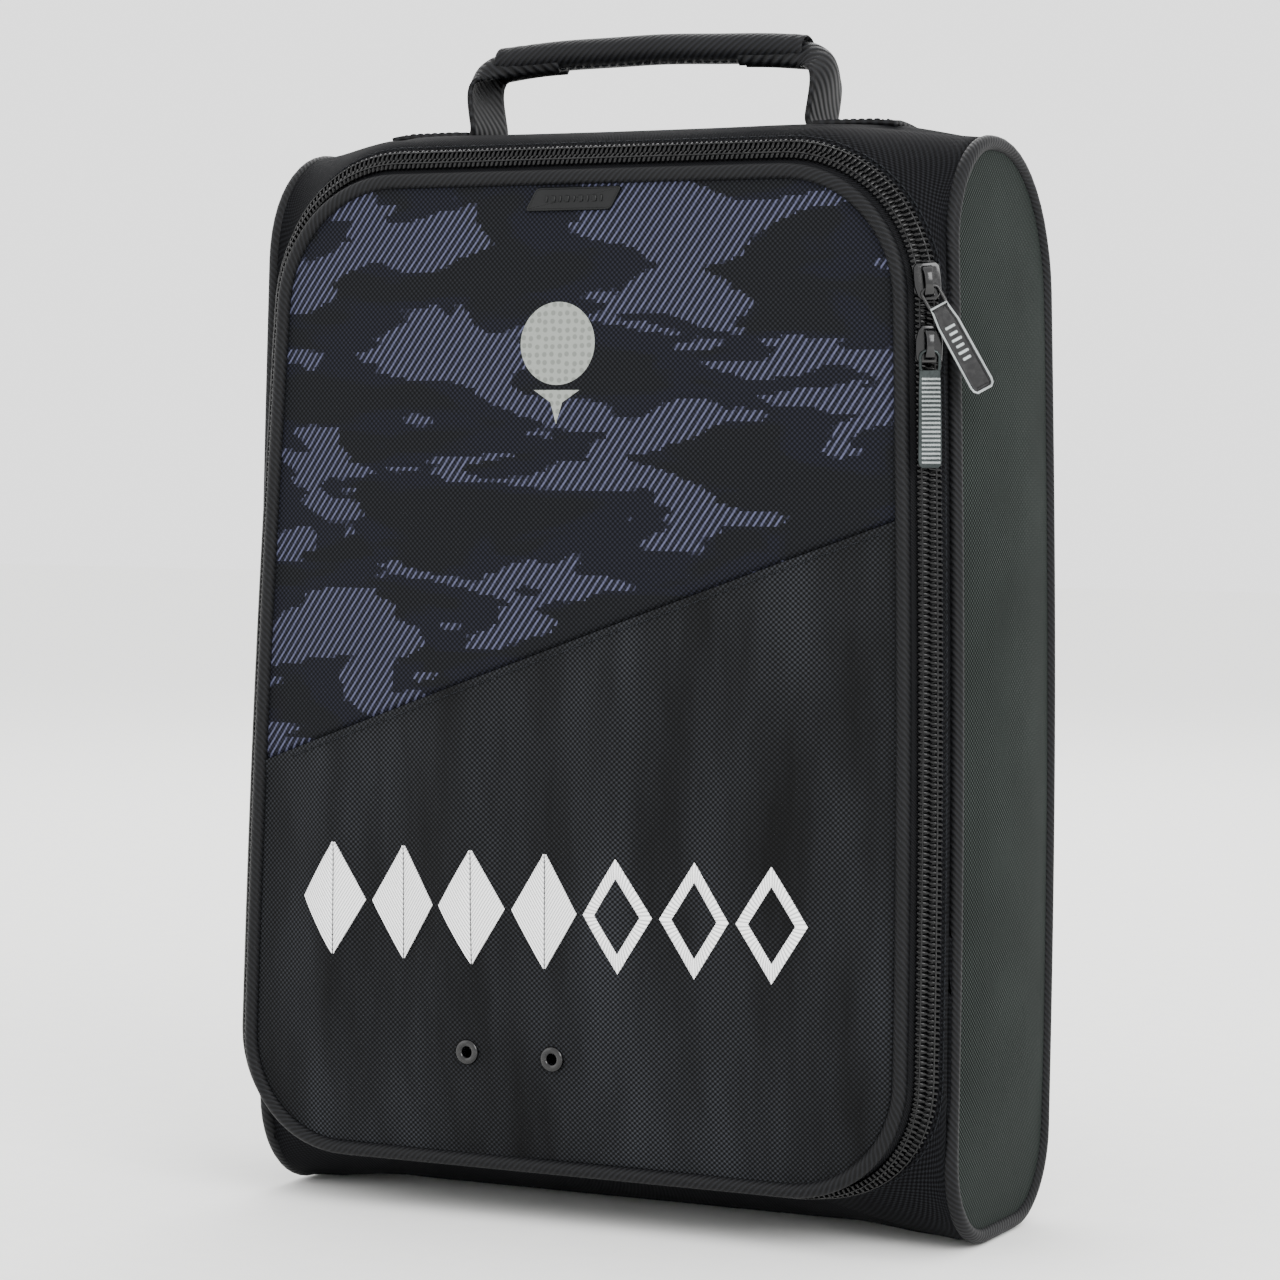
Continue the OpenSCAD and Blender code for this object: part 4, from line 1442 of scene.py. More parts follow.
@dataclass
class Door:
    """Padded door: camouflage above a slanting seam, plain cloth below, foam, lining and piping."""

    finishes: Finishes
    panel_inset: float = 2.3 - STRIP.tuck
    panel_y: float = -57.2
    crown: float = 4.0
    cap: float = 4.5
    foam_t: float = 4.0
    cloth_t: float = 1.1
    seam_left: tuple[float, float] = (-110.4, 155.0)
    seam_right: tuple[float, float] = (110.4, 236.0)
    eyelet_z: float = 57.0
    eyelets: tuple[float, float] = (-31.0, -1.0)
    surface: BVHTree | None = field(default=None, init=False)

    def levels(self) -> np.ndarray:
        """Gives the heights of the rows of cloth."""
        turn = np.radians(np.linspace(3, 90, 12))
        base = DOOR.bottom_z - DOOR.bottom_r + self.panel_inset
        low = base + (DOOR.bottom_r - self.panel_inset) * (1 - np.cos(turn))
        top = DOOR.top_z + DOOR.top_r - self.panel_inset
        high = top - (DOOR.top_r - self.panel_inset) * (1 - np.cos(turn))
        return np.concatenate([low, np.linspace(low[-1], high[-1], 46)[1:-1], high[::-1]])

    def seam_height(self, x: np.ndarray) -> np.ndarray:
        """Gives the height of the slanting seam."""
        (x0, z0), (x1, z1) = self.seam_left, self.seam_right
        return z0 + (np.asarray(x) - x0) * (z1 - z0) / (x1 - x0)

    def folds(self, x: np.ndarray, z: np.ndarray) -> np.ndarray:
        """Gives the soft upright folds that hang from the slanting seam.

        Args:
            x: Positions across the door.
            z: Heights.

        Returns:
            How far the cloth stands out.
        """
        below = self.seam_height(x) - z
        fade = smooth_step(-2, 26, below) * (1 - smooth_step(70, 135, below))
        total = 0 * x
        for at, wide, high, lean in FOLDS:
            total = total + high * np.exp(-(((x - at - lean * below) / wide) ** 2))
        low = 0.7 * np.sin(x / 17 + z / 60) * (1 - smooth_step(60, 170, z))
        return total * fade + low * 0.5

    def skin(self, y: float, crown: float) -> tuple[np.ndarray, np.ndarray]:
        """Draws a sheet that fills the door's outline.

        Args:
            y: Where its edge lies.
            crown: How far its middle stands out to the front.

        Returns:
            Rows by columns of points, and their cloth coordinates.
        """
        shares = (1 - np.cos(np.linspace(0, math.pi, 43))) - 1
        levels = self.levels()
        half = DOOR.half_width(levels, self.panel_inset)
        x = half[:, None] * shares[None]
        z = np.broadcast_to(levels[:, None], x.shape)
        near = smooth_step(0, 45, z - levels[0]) * smooth_step(0, 45, levels[-1] - z)
        dome = near * np.clip(1 - (x / half[:, None]) ** 2, 0, 1) ** 0.55
        points = np.stack([x, y - crown * dome, z], -1)
        return points, np.stack([x, z], -1)

    def build(self) -> list[bpy.types.Object]:
        """Builds the door's soft layers."""
        skin, cloth = self.skin(self.panel_y + self.cloth_t + 0.1, self.crown)
        under, _ = self.skin(self.panel_y + self.cloth_t + self.foam_t, 0)
        sheets = (SLOUCH.door(skin), SLOUCH.door(under))
        foam, filled = foam_pad("door_foam", self.finishes["foam"], sheets, cloth, self.cap)
        rim = np.zeros(filled.shape[:2])
        rim[1:-1, 1:-1] = 1
        filled[..., 1] -= (self.cloth_t + 0.15) + rim * self.folds(cloth[..., 0], cloth[..., 1])

        sheet = Draft()
        sheet.grid(filled, cloth)
        whole = sheet.build("door_cloth", self.finishes["door_fabric"], SOFT_EDGE)
        face_out(whole, (0, 0, 180))
        subdivide(whole)
        upper, lower = self.split(whole)
        lining_points, cloth = self.skin(self.panel_y + self.cloth_t + self.foam_t + 0.75, 0)
        lining_points = SLOUCH.door(lining_points)
        lining = cloth_sheet(
            "door_lining_cloth", self.finishes["lining"], lining_points, cloth, (0, 0, 180), 0.6
        )

        loop, outward = DOOR.loop(STRIP.tuck)
        line = np.stack([loop[:, 0], np.full(len(loop), STRIP.door_y), loop[:, 1]], -1)
        cord = Draft()
        normal = np.stack([outward[:, 0], 0 * outward[:, 0], outward[:, 1]], -1)
        cord.sweep(SLOUCH.door(line), normal, circle_section(2.5, 14), closed=True)
        piping = cord.solid("door_cord", self.finishes["piping_fabric"], SOFT_EDGE)

        for k, x in enumerate(self.eyelets):
            punch = Draft()
            at = SLOUCH.door(np.array([[x, 0, self.eyelet_z]]))[0, 0]
            place = Matrix.Translation((at, -55, self.eyelet_z)) @ Matrix.Rotation(math.pi / 2, 4, "X")
            punch.terrace(circle_section(2.75, 24), [(0, -25), (0, 25)], place)
            tool = punch.solid(f"punch_{k}", self.finishes["foam"])
            for layer in (lower, foam, lining):
                cut_out(layer, tool)
            bpy.data.objects.remove(tool)
        tree_points = points_of(lower), points_of(upper)
        faces = [list(p.vertices) for p in lower.data.polygons]
        offset = len(tree_points[0])
        faces += [[v + offset for v in p.vertices] for p in upper.data.polygons]
        self.surface = BVHTree.FromPolygons(np.concatenate(tree_points).tolist(), faces)
        return [
            finish_piece(foam, "door", ("door_padding",)),
            finish_piece(upper, "door", ("door_panel_upper",)),
            finish_piece(lower, "door", ("door_panel_lower",)),
            finish_piece(lining, "door", ("door_lining",)),
            finish_piece(piping, "door", ("door_piping",)),
        ]

    def split(self, whole: bpy.types.Object) -> tuple[bpy.types.Object, bpy.types.Object]:
        """Cuts the front cloth along the slanting seam and folds the edges into it.

        Args:
            whole: The cloth, one sheet.

        Returns:
            The upper and the lower panel, with their thickness.
        """
        (x0, z0), (x1, z1) = self.seam_left, self.seam_right
        along = Vector((x1 - x0, 0, z1 - z0)).normalized()
        up = Vector((-along.z, 0, along.x))
        pieces = []
        for name, slot, side in (
            ("door_cloth_upper", "camouflage_fabric", 1), ("door_cloth_lower", "door_fabric", -1)
        ):
            sheet = bmesh.new()
            sheet.from_mesh(whole.data)
            for off in (-6.0, -3.5, -1.8, -0.9, -0.3, 0.0, 0.3, 0.9, 1.8, 3.5):
                bmesh.ops.bisect_plane(
                    sheet,
                    geom=[*sheet.verts, *sheet.edges, *sheet.faces],
                    plane_co=(Vector((x0, 0, z0)) + up * off) * MM,
                    plane_no=up,
                    dist=1e-6,
                )
            bmesh.ops.bisect_plane(
                sheet,
                geom=[*sheet.verts, *sheet.edges, *sheet.faces],
                plane_co=(Vector((x0, 0, z0)) + up * 0.02 * side) * MM,
                plane_no=up * side,
                dist=1e-7,
                clear_inner=True,
            )
            for vert in sheet.verts:
                off = (vert.co / MM - Vector((x0, 0, z0))).dot(up)
                edge = 1 - float(smooth_step(0.0, 0.35 if side < 0 else 1.4, abs(off)))
                fold = float(1 - smooth_step(1.0, 6.0, abs(off)))
                vert.co.y += (edge * 0.9 - (fold * 0.75 if side < 0 else -fold * 0.15)) * MM
            mesh = bpy.data.meshes.new(name)
            sheet.to_mesh(mesh)
            sheet.free()
            mesh.materials.clear()
            mesh.materials.append(self.finishes[slot])
            obj = bpy.data.objects.new(name, mesh)
            bpy.context.scene.collection.objects.link(obj)
            thicken(obj, self.cloth_t)
            pieces.append(obj)
        bpy.data.objects.remove(whole)
        return pieces[0], pieces[1]

    def front_at(self, x: float, z: float) -> tuple[float, np.ndarray]:
        """Gives the depth of the door's front at a place, and the cloth's outward direction."""
        hit = self.surface.ray_cast(Vector((x, -120, z)), Vector((0, 1, 0)))
        if hit[0] is None:
            return self.panel_y, np.array([0.0, -1.0, 0.0])
        return hit[0].y, np.array(hit[1]) * (1 if hit[1].y < 0 else -1)

    def drape(self, points: np.ndarray, heights: np.ndarray) -> np.ndarray:
        """Lays flat points (x, z) on the door's front.

        Args:
            points: Points across the door.
            heights: How far each stands off the cloth.

        Returns:
            Points in space.
        """
        flat = points.reshape(-1, 2)
        tall = np.broadcast_to(heights, points.shape[:-1]).ravel()
        rows = []
        for (x, z), h in zip(flat, tall):
            rows.append((x, self.front_at(float(x), float(z))[0] - h, z))
        return np.array(rows).reshape(*points.shape[:-1], 3)


@dataclass
class DoorTrim:
    """What is sewn, printed and pressed on the door: emblem, embroidery, tag, eyelets and topstitching."""

    finishes: Finishes
    door: Door
    ball_r: float = 13.6
    ball: tuple[float, float] = (-6.0, 292.9)
    diamond_x: float = -9.0
    diamond_z: float = 106.0
    diamond_pitch: float = 27.0
    diamond_half: tuple[float, float] = (12.2, 19.0)

    def patch(
        self, draft: Draft, outline: np.ndarray, centre: Sequence[float], low: float, high: float
    ) -> None:
        """Adds a flat closed patch on the cloth, drawn as rings round a centre.

        Args:
            draft: The drawing that takes it.
            outline: The patch's outline (x, z), anticlockwise.
            centre: A point that sees the whole outline.
            low: How far its underside stands off the cloth.
            high: How far its face stands off.
        """
        shares = np.array([1.0, 1.0, 0.97, 0.8, 0.6, 0.4, 0.2])
        heights = np.array([low, high * 0.7, high, high, high, high, high])
        rings = np.array(centre) + shares[:, None, None] * (outline - np.array(centre))[None]
        points = self.door.drape(rings, heights[:, None])
        wide = np.concatenate([rings, rings[:, :1]], 1)
        index = draft.grid(points, wide, close_columns=True)
        draft.cap(index[0][::-1], rings[0][::-1])
        draft.cap(index[-1], rings[-1])

    def emblem(self) -> bpy.types.Object:
        """Prints a golf ball, with its dimples left open, on a tee."""
        draft = Draft()
        cx, cz = self.ball
        turn = full_turn(64)
        disc = np.stack([cx + self.ball_r * np.cos(turn), cz + self.ball_r * np.sin(turn)], -1)
        self.patch(draft, disc, self.ball, -0.05, 0.16)
        r = self.ball_r
        top, low, tip = cz - r * 1.12, cz - r * 1.42, cz + r - 40.0
        corners = [(-0.62 * r, top), (-0.16 * r, low), (0, tip), (0.16 * r, low), (0.62 * r, top)]
        outline = []
        for (ax, az), (bx, bz) in zip(corners, corners[1:] + corners[:1]):
            for t in np.linspace(0, 1, 6, endpoint=False):
                outline.append((cx + ax + t * (bx - ax), az + t * (bz - az)))
        self.patch(draft, np.array(outline), (cx, (top + low) / 2), -0.05, 0.16)
        obj = draft.solid("ball_and_tee_print", self.finishes["print"])
        return finish_piece(obj, "door", ("emblem_print",))

    def bar(self, draft: Draft, corners: Sequence[Sequence[float]], rise: float) -> None:
        """Adds one band of satin stitch between two edges, its threads lying across it.

        Args:
            draft: The drawing that takes it.
            corners: Start and end of the first edge, then start and end of the second.
            rise: How far its middle stands off the cloth.
        """
        a0, a1, b0, b1 = (np.array(c, float) for c in corners)
        along = np.linspace(0, 1, 15)[:, None, None]
        across = np.array([0.0, 0.0, 0.12, 0.3, 0.5, 0.7, 0.88, 1.0, 1.0])[None, :, None]
        flat = (1 - across) * (a0 + along * (a1 - a0)) + across * (b0 + along * (b1 - b0))
        height = rise * np.array([-0.2, 0.45, 0.8, 0.95, 1.0, 0.95, 0.8, 0.45, -0.2])
        points = self.door.drape(flat, height[None])
        length = float(np.linalg.norm((a1 + b1) / 2 - (a0 + b0) / 2))
        run = np.linspace(0, length, 15)[:, None] * np.ones((1, 9))
        cloth = np.stack([np.linspace(0, 3, 9)[None] * np.ones((15, 1)), run], -1)
        index = draft.grid(points, cloth)
        draft.cap(index[0])
        draft.cap(index[-1][::-1])
        under = np.concatenate([index[:, 0], index[::-1, -1]])
        draft.cap(under[::-1])

    def embroidery(self) -> bpy.types.Object:
        """Stitches a row of argyle diamonds: the left ones filled, the right ones in outline."""
        draft = Draft()
        w, h = self.diamond_half
        for i in range(7):
            cx = self.diamond_x + (i - 3) * self.diamond_pitch
            cz = self.diamond_z
            right, top, left, low = (cx + w, cz), (cx, cz + h), (cx - w, cz), (cx, cz - h)
            if i < 4:
                gap = 0.25
                self.bar(draft, ((cx - gap, cz - h), (cx - gap, cz + h), left, (cx - gap - 0.2, cz + h)), 0.9)
                self.bar(
                    draft, ((cx + gap, cz - h), (cx + gap, cz + h), (cx + w, cz), (cx + gap + 0.2, cz + h)),
                    0.9,
                )
                continue
            k = 0.66
            inner = [(cx + k * (px - cx), cz + k * (pz - cz)) for px, pz in (right, top, left, low)]
            ring = [right, top, left, low]
            for j in range(4):
                m = (j + 1) % 4
                self.bar(draft, (ring[j], ring[m], inner[j], inner[m]), 0.75)
        obj = draft.solid("argyle_embroidery", self.finishes["embroidery"], 50)
        return finish_piece(obj, "door", ("diamond_embroidery",))

    def tag(self) -> bpy.types.Object:
        """Moulds the rubber tag with its raised border and plain bars."""
        draft = Draft()
        z1, tall = 344.0, 7.8
        corners = [(-20.0, z1 - tall), (11.2, z1 - tall), (15.0, z1), (-16.2, z1)]
        outline = []
        for k, corner in enumerate(corners):
            before, after = (unit(np.array(corners[m % 4]) - np.array(corner)) for m in (k - 1, k + 1))
            for t in np.linspace(0, 1, 5):
                outline.append(np.array(corner) + 1.6 * (before * (1 - t) ** 2 + after * t**2))
        y, out = self.door.front_at(0, z1 - tall / 2)
        tilt = math.atan2(out[2], -out[1])
        place = (
            Matrix.Translation((0, y + 0.1, z1 - tall / 2))
            @ Matrix.Rotation(math.pi / 2 - tilt, 4, "X")
            @ Matrix.Translation((0, -(z1 - tall / 2), 0))
        )
        levels = [(0, -0.6), (0, 0.9), (0.15, 1.15), (0.35, 1.25), (0.6, 1.25), (0.75, 1.05)]
        draft.terrace(np.array(outline), levels, place)
        for k in range(9):
            at = np.array([(k - 4.9) * 2.5, z1 - tall / 2])
            bar = rounded_section(1.6 if k % 2 else 0.9, 2.2, 0.35, 2) + at
            draft.terrace(bar, [(0, 0.8), (0, 1.3), (0.15, 1.45)], place)
        obj = draft.solid("tag_moulding", self.finishes["tag_rubber"], 35)
        return finish_piece(obj, "door", ("rubber_tag",))

    def eyelets(self) -> list[bpy.types.Object]:
        """Rolls the two ventilation eyelets with their washers behind the lining."""
        pieces = []
        for word, x in zip(("left", "right"), self.door.eyelets):
            sx = SLOUCH.door(np.array([[x, 0, self.door.eyelet_z]]))[0, 0]
            y = min(self.door.front_at(sx + dx, self.door.eyelet_z)[0] for dx in (-4.6, 4.6))
            draft = Draft()
            place = Matrix.Translation((sx, y, self.door.eyelet_z)) @ Matrix.Rotation(math.pi / 2, 4, "X")
            depth = -52.2 - y + 0.9
            curl = [
                (3.0 + 1.25 * math.cos(a), 0.35 + 0.85 * math.sin(a))
                for a in np.radians([-20, 10, 40, 70, 100, 130, 160, 185])
            ]
            profile = [(4.2, -0.1), *curl, (2.35, -depth), (2.7, -depth), (2.75, -0.3)]
            draft.lathe(profile, 40, place)
            ring = draft.solid(f"eyelet_ring_{word}", self.finishes["blackened_metal"], 50)
            pieces.append(finish_piece(ring, "door", (f"eyelet_{word}",)))
            back = Draft()
            inside = Matrix.Translation((sx, -51.0, self.door.eyelet_z))
            place = inside @ Matrix.Rotation(-math.pi / 2, 4, "X")
            back.lathe(
                [(2.8, -0.1), (4.2, -0.1), (4.4, 0.15), (4.1, 0.55), (3.3, 0.7), (2.8, 0.55)], 40, place
            )
            washer = back.solid(f"eyelet_back_{word}", self.finishes["blackened_metal"], 50)
            pieces.append(finish_piece(washer, "door", (f"eyelet_washer_{word}",)))
        return pieces

    def stitching(self) -> bpy.types.Object:
        """Sews the row of stitches below the slanting seam."""
        draft = Draft()
        x = np.linspace(-108.5, 108.5, 120)
        z = self.door.seam_height(x) - 2.6
        line = self.door.drape(np.stack([x, z], -1), np.zeros(len(x)))
        stitch_row(draft, line, np.tile([0.0, -1.0, 0.0], (len(line), 1)), 3.6, 0.32)
        obj = draft.build("door_topstitch", self.finishes.thread, 50)
        return finish_piece(obj, "door")

    def build(self) -> list[bpy.types.Object]:
        """Builds all of the door's trim."""
        return [self.emblem(), self.embroidery(), self.tag(), *self.eyelets(), self.stitching()]


# ---------------------------------------------------------------- zip


class Half(Enum):
    """The two halves of the zip, by the body that each is sewn to."""

    DOOR = "door"
    BODY = "bag"


@dataclass
class Zip:
    """Coil zip: two herringbone tapes, each with a nylon coil sewn on, and plain ends at the hinge."""

    finishes: Finishes
    pitch: float = 1.75
    wire_r: float = 0.42
    coil_half: float = 2.05
    reach: float = 1.75
    coil_h: float = 1.45
    swell: float = 0.85
    band_x: float = 67.4

    def tape(self, half: Half) -> bpy.types.Object:
        """Weaves one tape."""
        s0, s1 = (1.2, STRIP.middle - 0.05) if half is Half.DOOR else (STRIP.middle + 0.05, STRIP.end + 0.3)
        line, across, _ = DOOR.zip_line((s0 + s1) / 2, 0)
        section = rounded_section(s1 - s0, 0.6, 0.25, 2)
        draft = Draft()
        draft.sweep(SLOUCH.door(line), across, section)
        obj = draft.solid(f"tape_{half.name.lower()}", self.finishes["zip_tape"], 50)
        node = "zip_tape_door" if half is Half.DOOR else "zip_tape_body"
        return finish_piece(obj, half.value, (node,))

    def coil(self, half: Half) -> bpy.types.Object:
        """Winds one coil: each turn reaches to the middle and hooks between two of the other half."""
        sign = -1 if half is Half.DOOR else 1
        line, across, up = DOOR.zip_line(STRIP.middle, 0)
        along = run_length(line)
        turns = int(along[-1] / self.pitch)
        steps = 9
        phase = np.arange(turns * steps) * 2 * math.pi / steps
        at = phase / (2 * math.pi) * self.pitch + (self.pitch / 2 if sign > 0 else 0)
        at = np.minimum(at, along[-1])
        base, out, rise = (along_path(at, along, rows) for rows in (line, across, up))
        wide = np.cos(phase)[:, None]
        tall = np.sin(phase)[:, None]
        centre = base + out * sign * self.reach + rise * self.coil_h
        path = centre + out * wide * self.coil_half + rise * tall * self.swell
        draft = Draft()
        draft.sweep(SLOUCH.door(path), out * wide + rise * tall, circle_section(self.wire_r, 6))
        # The cord and thread that hold the turns run along the top of each coil
        seat = base + out * sign * (self.reach + 0.55) + rise * (self.coil_h + self.swell + 0.28)
        keep = slice(0, None, steps // 2)
        draft.sweep(SLOUCH.door(seat[keep]), rise[keep], circle_section(0.3, 6))
        obj = draft.solid(f"coil_{half.name.lower()}", self.finishes["zip_coil"], SOFT_EDGE)
        node = "zip_coil_door" if half is Half.DOOR else "zip_coil_body"
        return finish_piece(obj, half.value, (node,))

    def hinge(self) -> list[bpy.types.Object]:
        """Sews the plain band below the zip's ends, and the end patches."""
        rows = []
        foot = DOOR.bottom_z - DOOR.bottom_r
        below = np.array([0.0, -1.0])
        first, last = 1.2, STRIP.end + 0.4
        shares = np.linspace(first, last, 17)
        for s in shares:
            u, v = STRIP.at(s, 0.1 + 0.35 * math.sin(math.pi * (s - first) / (last - first)), below)
            x = np.linspace(self.band_x, -self.band_x, 41)
            rows.append(np.stack([x, np.full(41, STRIP.door_y + v), np.full(41, foot - u)], -1))
        points = np.stack(rows)
        cloth = np.stack([points[..., 0], np.broadcast_to(shares[:, None], points.shape[:2])], -1)
        band = cloth_sheet(
            "hinge_cloth", self.finishes["wrap_fabric"], SLOUCH.door(points), cloth, (0, 0, 60), 0.9
        )
        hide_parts("hinge_band")
        u0, v0 = STRIP.at(2.5, 0, below)
        u1, v1 = STRIP.at(STRIP.end - 1.0, 0, below)
        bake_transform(band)
        pieces = [band]
        for word, sign in (("left", -1), ("right", 1)):
            patch = Draft()
            x = sign * (self.band_x - 5.0)
            u, v = STRIP.at(STRIP.end - 1.6, 0.95, below)
            place = (
                Matrix.Translation((x, STRIP.door_y + v, foot - u))
                @ Matrix.Rotation(math.radians(180), 4, "Z")
                @ Matrix.Rotation(-(math.pi / 2 - STRIP.bottom), 4, "X")
            )
            outline = rounded_section(9.6, 3.2, 0.8, 3)
            patch.terrace(outline, [(0.1, -0.55), (0, -0.4), (0, 0.25), (0.25, 0.45)], place)
            points = SLOUCH.door(np.concatenate(patch.points))
            patch.points = [points]
            obj = patch.solid(f"zip_end_cloth_{word}", self.finishes["wrap_fabric"], SOFT_EDGE)
            pieces.append(finish_piece(obj, "bag", (f"zip_end_patch_{word}",)))
        return pieces

    def hem_stitching(self) -> bpy.types.Object:
        """Sews the row of stitches along the cloth that is folded over the tape."""
        draft = Draft()
        line, _, up = DOOR.zip_line(STRIP.end + 1.1, 1.75)
        stitch_row(draft, SLOUCH.door(line), up, 3.4, 0.26)
        obj = draft.build("zip_topstitch", self.finishes.thread, 50)
        return finish_piece(obj, "bag")

    def build(self) -> list[bpy.types.Object]:
        """Builds the whole zip."""
        pieces = []
        for half in Half:
            pieces += [self.tape(half), self.coil(half)]
        return [*pieces, *self.hinge(), self.hem_stitching()]


class PullFace(Enum):
    """What the face of a pull shows."""

    BARS = "a few raised bars in a recess"
    RIBS = "fine ribs over the whole face"


@dataclass
class Slider:
    """A slider with its bridge and its pull, drawn in its own frame: x across the strip, y up the zip."""

    finishes: Finishes
    word: str
    x: float
    z: float
    turn: float
    flipped: bool
    face: PullFace
    tilt: float
    y: float = -52.4
    slope: float = STRIP.right
    length: float = 12.0
    width: float = 8.8
    plate_low: float = 3.15
    plate_top: float = 4.35
    bridge_rise: float = 3.6
    pivot: tuple[float, float] = (-2.54, 5.55)
    pull_l: float = 37.0
    pull_w: float = 7.4
    pull_t: float = 1.8
    wire_r: float = 0.52
    painted_highlight_rim_r: float = 0.42

    def place(self) -> Matrix:
        """Gives where the slider's own frame lies."""
        spot = SLOUCH.door(np.array([[self.x, self.y, self.z]]))[0]
        return (
            Matrix.Translation(spot)
            @ Matrix.Rotation(-math.radians(self.turn), 4, "Y")
            @ Matrix.Rotation(self.slope, 4, "Z")
            @ Matrix.Rotation(math.pi / 2, 4, "X")
        )

    def body(self) -> bpy.types.Object:
        """Casts the slider: a rounded top plate with flanges, a lower plate, a post and an arched bridge."""
        place = self.place()
        if self.flipped:
            place = place @ Matrix.Rotation(math.pi, 4, "Z")
        half, w = self.length / 2, self.width / 2
        shape = [
            (-w * 0.72, -half), (w * 0.72, -half), (w * 0.95, -half * 0.8), (w, -half * 0.2),
            (w * 0.98, half * 0.25),
            (w * 0.8, half * 0.75), (w * 0.5, half), (-w * 0.5, half), (-w * 0.8, half * 0.75),
            (-w * 0.98, half * 0.25), (-w, -half * 0.2), (-w * 0.95, -half * 0.8),
        ]
        draft = Draft()
        top = np.array(shape)
        levels = [
            (0.5, self.plate_low), (0.1, self.plate_low), (0, self.plate_low + 0.35),
            (0, self.plate_top - 0.5), (0.3, self.plate_top - 0.1),
            (0.8, self.plate_top), (1.5, self.plate_top),
        ]
        draft.terrace(top, levels, place)
        for side in (-1, 1):
            at = np.array([side * (w - 0.5), -half * 0.18])
            flange = rounded_section(0.9, self.length * 0.72, 0.4, 3) + at
            draft.terrace(flange, [(0.1, 1.2), (0, 1.4), (0, self.plate_low + 0.3)], place)
        under = rounded_section(5.6, self.length, 1.2, 4)
        draft.terrace(under, [(0.2, -1.95), (0, -1.7), (0, -0.95), (0.1, -0.75)], place)
        post = rounded_section(0.76, self.length * 0.25, 0.3, 2) + np.array([0, self.length * 0.175])
        draft.terrace(post, [(0, -1.2), (0, self.plate_low + 0.3)], place)
        # Arched bridge, wide at its feet
        turn = np.linspace(0, math.pi, 19)
        line = np.stack(
            [
                0 * turn,
                -4.45 * np.cos(turn) * (1 - 0.08 * np.sin(turn)),
                self.plate_top - 0.5 + (self.bridge_rise - 0.1) * np.sin(turn) ** 0.55,
            ],
            -1,
        )
        across = np.tile([1.0, 0.0, 0.0], (len(line), 1))
        flare = 1 + 0.45 * np.abs(np.cos(turn)) ** 3
        section = rounded_section(2.4, 1.2, 0.35, 3)[None] * np.stack([flare, np.ones(19)], -1)[:, None]
        draft.sweep(moved(line, place), across @ np.array(place)[:3, :3].T, section)
        obj = draft.solid(f"slider_casting_{self.word}", self.finishes["blackened_metal"], 40)
        return finish_piece(obj, f"slider_{self.word}", (f"slider_{self.word}",))

    def pull(self) -> bpy.types.Object:
        """Casts the pull: a wire eye that turns in the bridge and a bevelled plate with a worked face."""
        place = (
            self.place()
            @ Matrix.Translation((0, self.pivot[0], self.pivot[1]))
            @ Matrix.Rotation(math.radians(self.tilt), 4, "Z")
        )
        turn_matrix = np.array(place)[:3, :3].T
        draft = Draft()
        wide = self.face is PullFace.RIBS
        eye = rounded_section(6.1 if wide else 5.7, 7.2, 2.2 if wide else 1.6, 5) + np.array([0, -3.2])
        ring = np.column_stack([eye, 0 * eye[:, 0]])
        up = np.tile([0.0, 0.0, 1.0], (len(ring), 1))
        draft.sweep(moved(ring, place), up @ turn_matrix, circle_section(self.wire_r, 10), closed=True)
        tail, shank, w = 0.65 - self.pull_l, 3.3 if wide else 2.85, self.pull_w / 2
        # Neck, long sides that widen a little and a free end with small rounds
        side = [
            (shank + 0.15, -5.6), (shank + 0.05, -7.0), (w - 0.15, -12.0), (w, tail + 2.2),
            (w - 0.3, tail + 0.8), (w - 1.1, tail),
        ]
        right = np.array(side)
        outline = np.concatenate([right[::-1], right * np.array([-1, 1])])[::-1]
        area = np.sum(outline[:, 0] * np.roll(outline[:, 1], -1) - np.roll(outline[:, 0], -1) * outline[:, 1])
        outline = outline if area > 0 else outline[::-1]
        t = self.pull_t / 2
        marks = Draft()
        levels = [
            (0.35, -t), (0, -t + 0.35), (0, t - 0.7), (0.7, t), (0.95, t), (1.1, t - 0.4), (1.9, t - 0.4)
        ]
        if wide:
            levels = [(0.35, -t), (0, -t + 0.35), (0, t - 0.35), (0.25, t - 0.15), (1.2, t - 0.15)]
        draft.terrace(outline, levels, place)
        if wide:
            # Ribs end where the plate narrows towards the eye
            for k in range(20):
                rib = rounded_section(2 * (w - 0.75), 0.8, 0.25, 2) + np.array([0.25, -8.4 - k * 1.38])
                marks.terrace(rib, [(0, t - 0.3), (0, t + 0.1), (0.2, t + 0.3)], place)
        else:
            for k in range(6):
                bar = rounded_section(2.9 if k % 2 else 3.6, 1.0, 0.3, 2) + np.array([0, -13.6 - 2.2 * k])
                marks.terrace(bar, [(0, t - 0.6), (0, t - 0.15), (0.15, t)], place)
            # A ring of bright metal round the face: painted highlight standing in for the light on its
            # bevelled edge
            centre = np.array([0, (tail - 5.6) / 2])
            rim = np.column_stack([outline + (centre - outline) * 0.03, 0 * outline[:, 0] + t - 0.25])
            face = np.tile([0.0, 0.0, 1.0], (len(rim), 1)) @ turn_matrix
            marks.sweep(moved(rim, place), face, circle_section(self.painted_highlight_rim_r, 8), closed=True)
        marking = marks.solid(f"pull_marking_{self.word}", self.finishes.plate, 38)
        finish_piece(marking, f"pull_{self.word}")
        metal = self.finishes.steel if wide else self.finishes["blackened_metal"]
        obj = draft.solid(f"pull_casting_{self.word}", metal, 38)
        return finish_piece(obj, f"pull_{self.word}", (f"pull_{self.word}",))

    def build(self) -> list[bpy.types.Object]:
        """Builds the slider and its pull."""
        return [self.body(), self.pull()]


# ---------------------------------------------------------------- handle


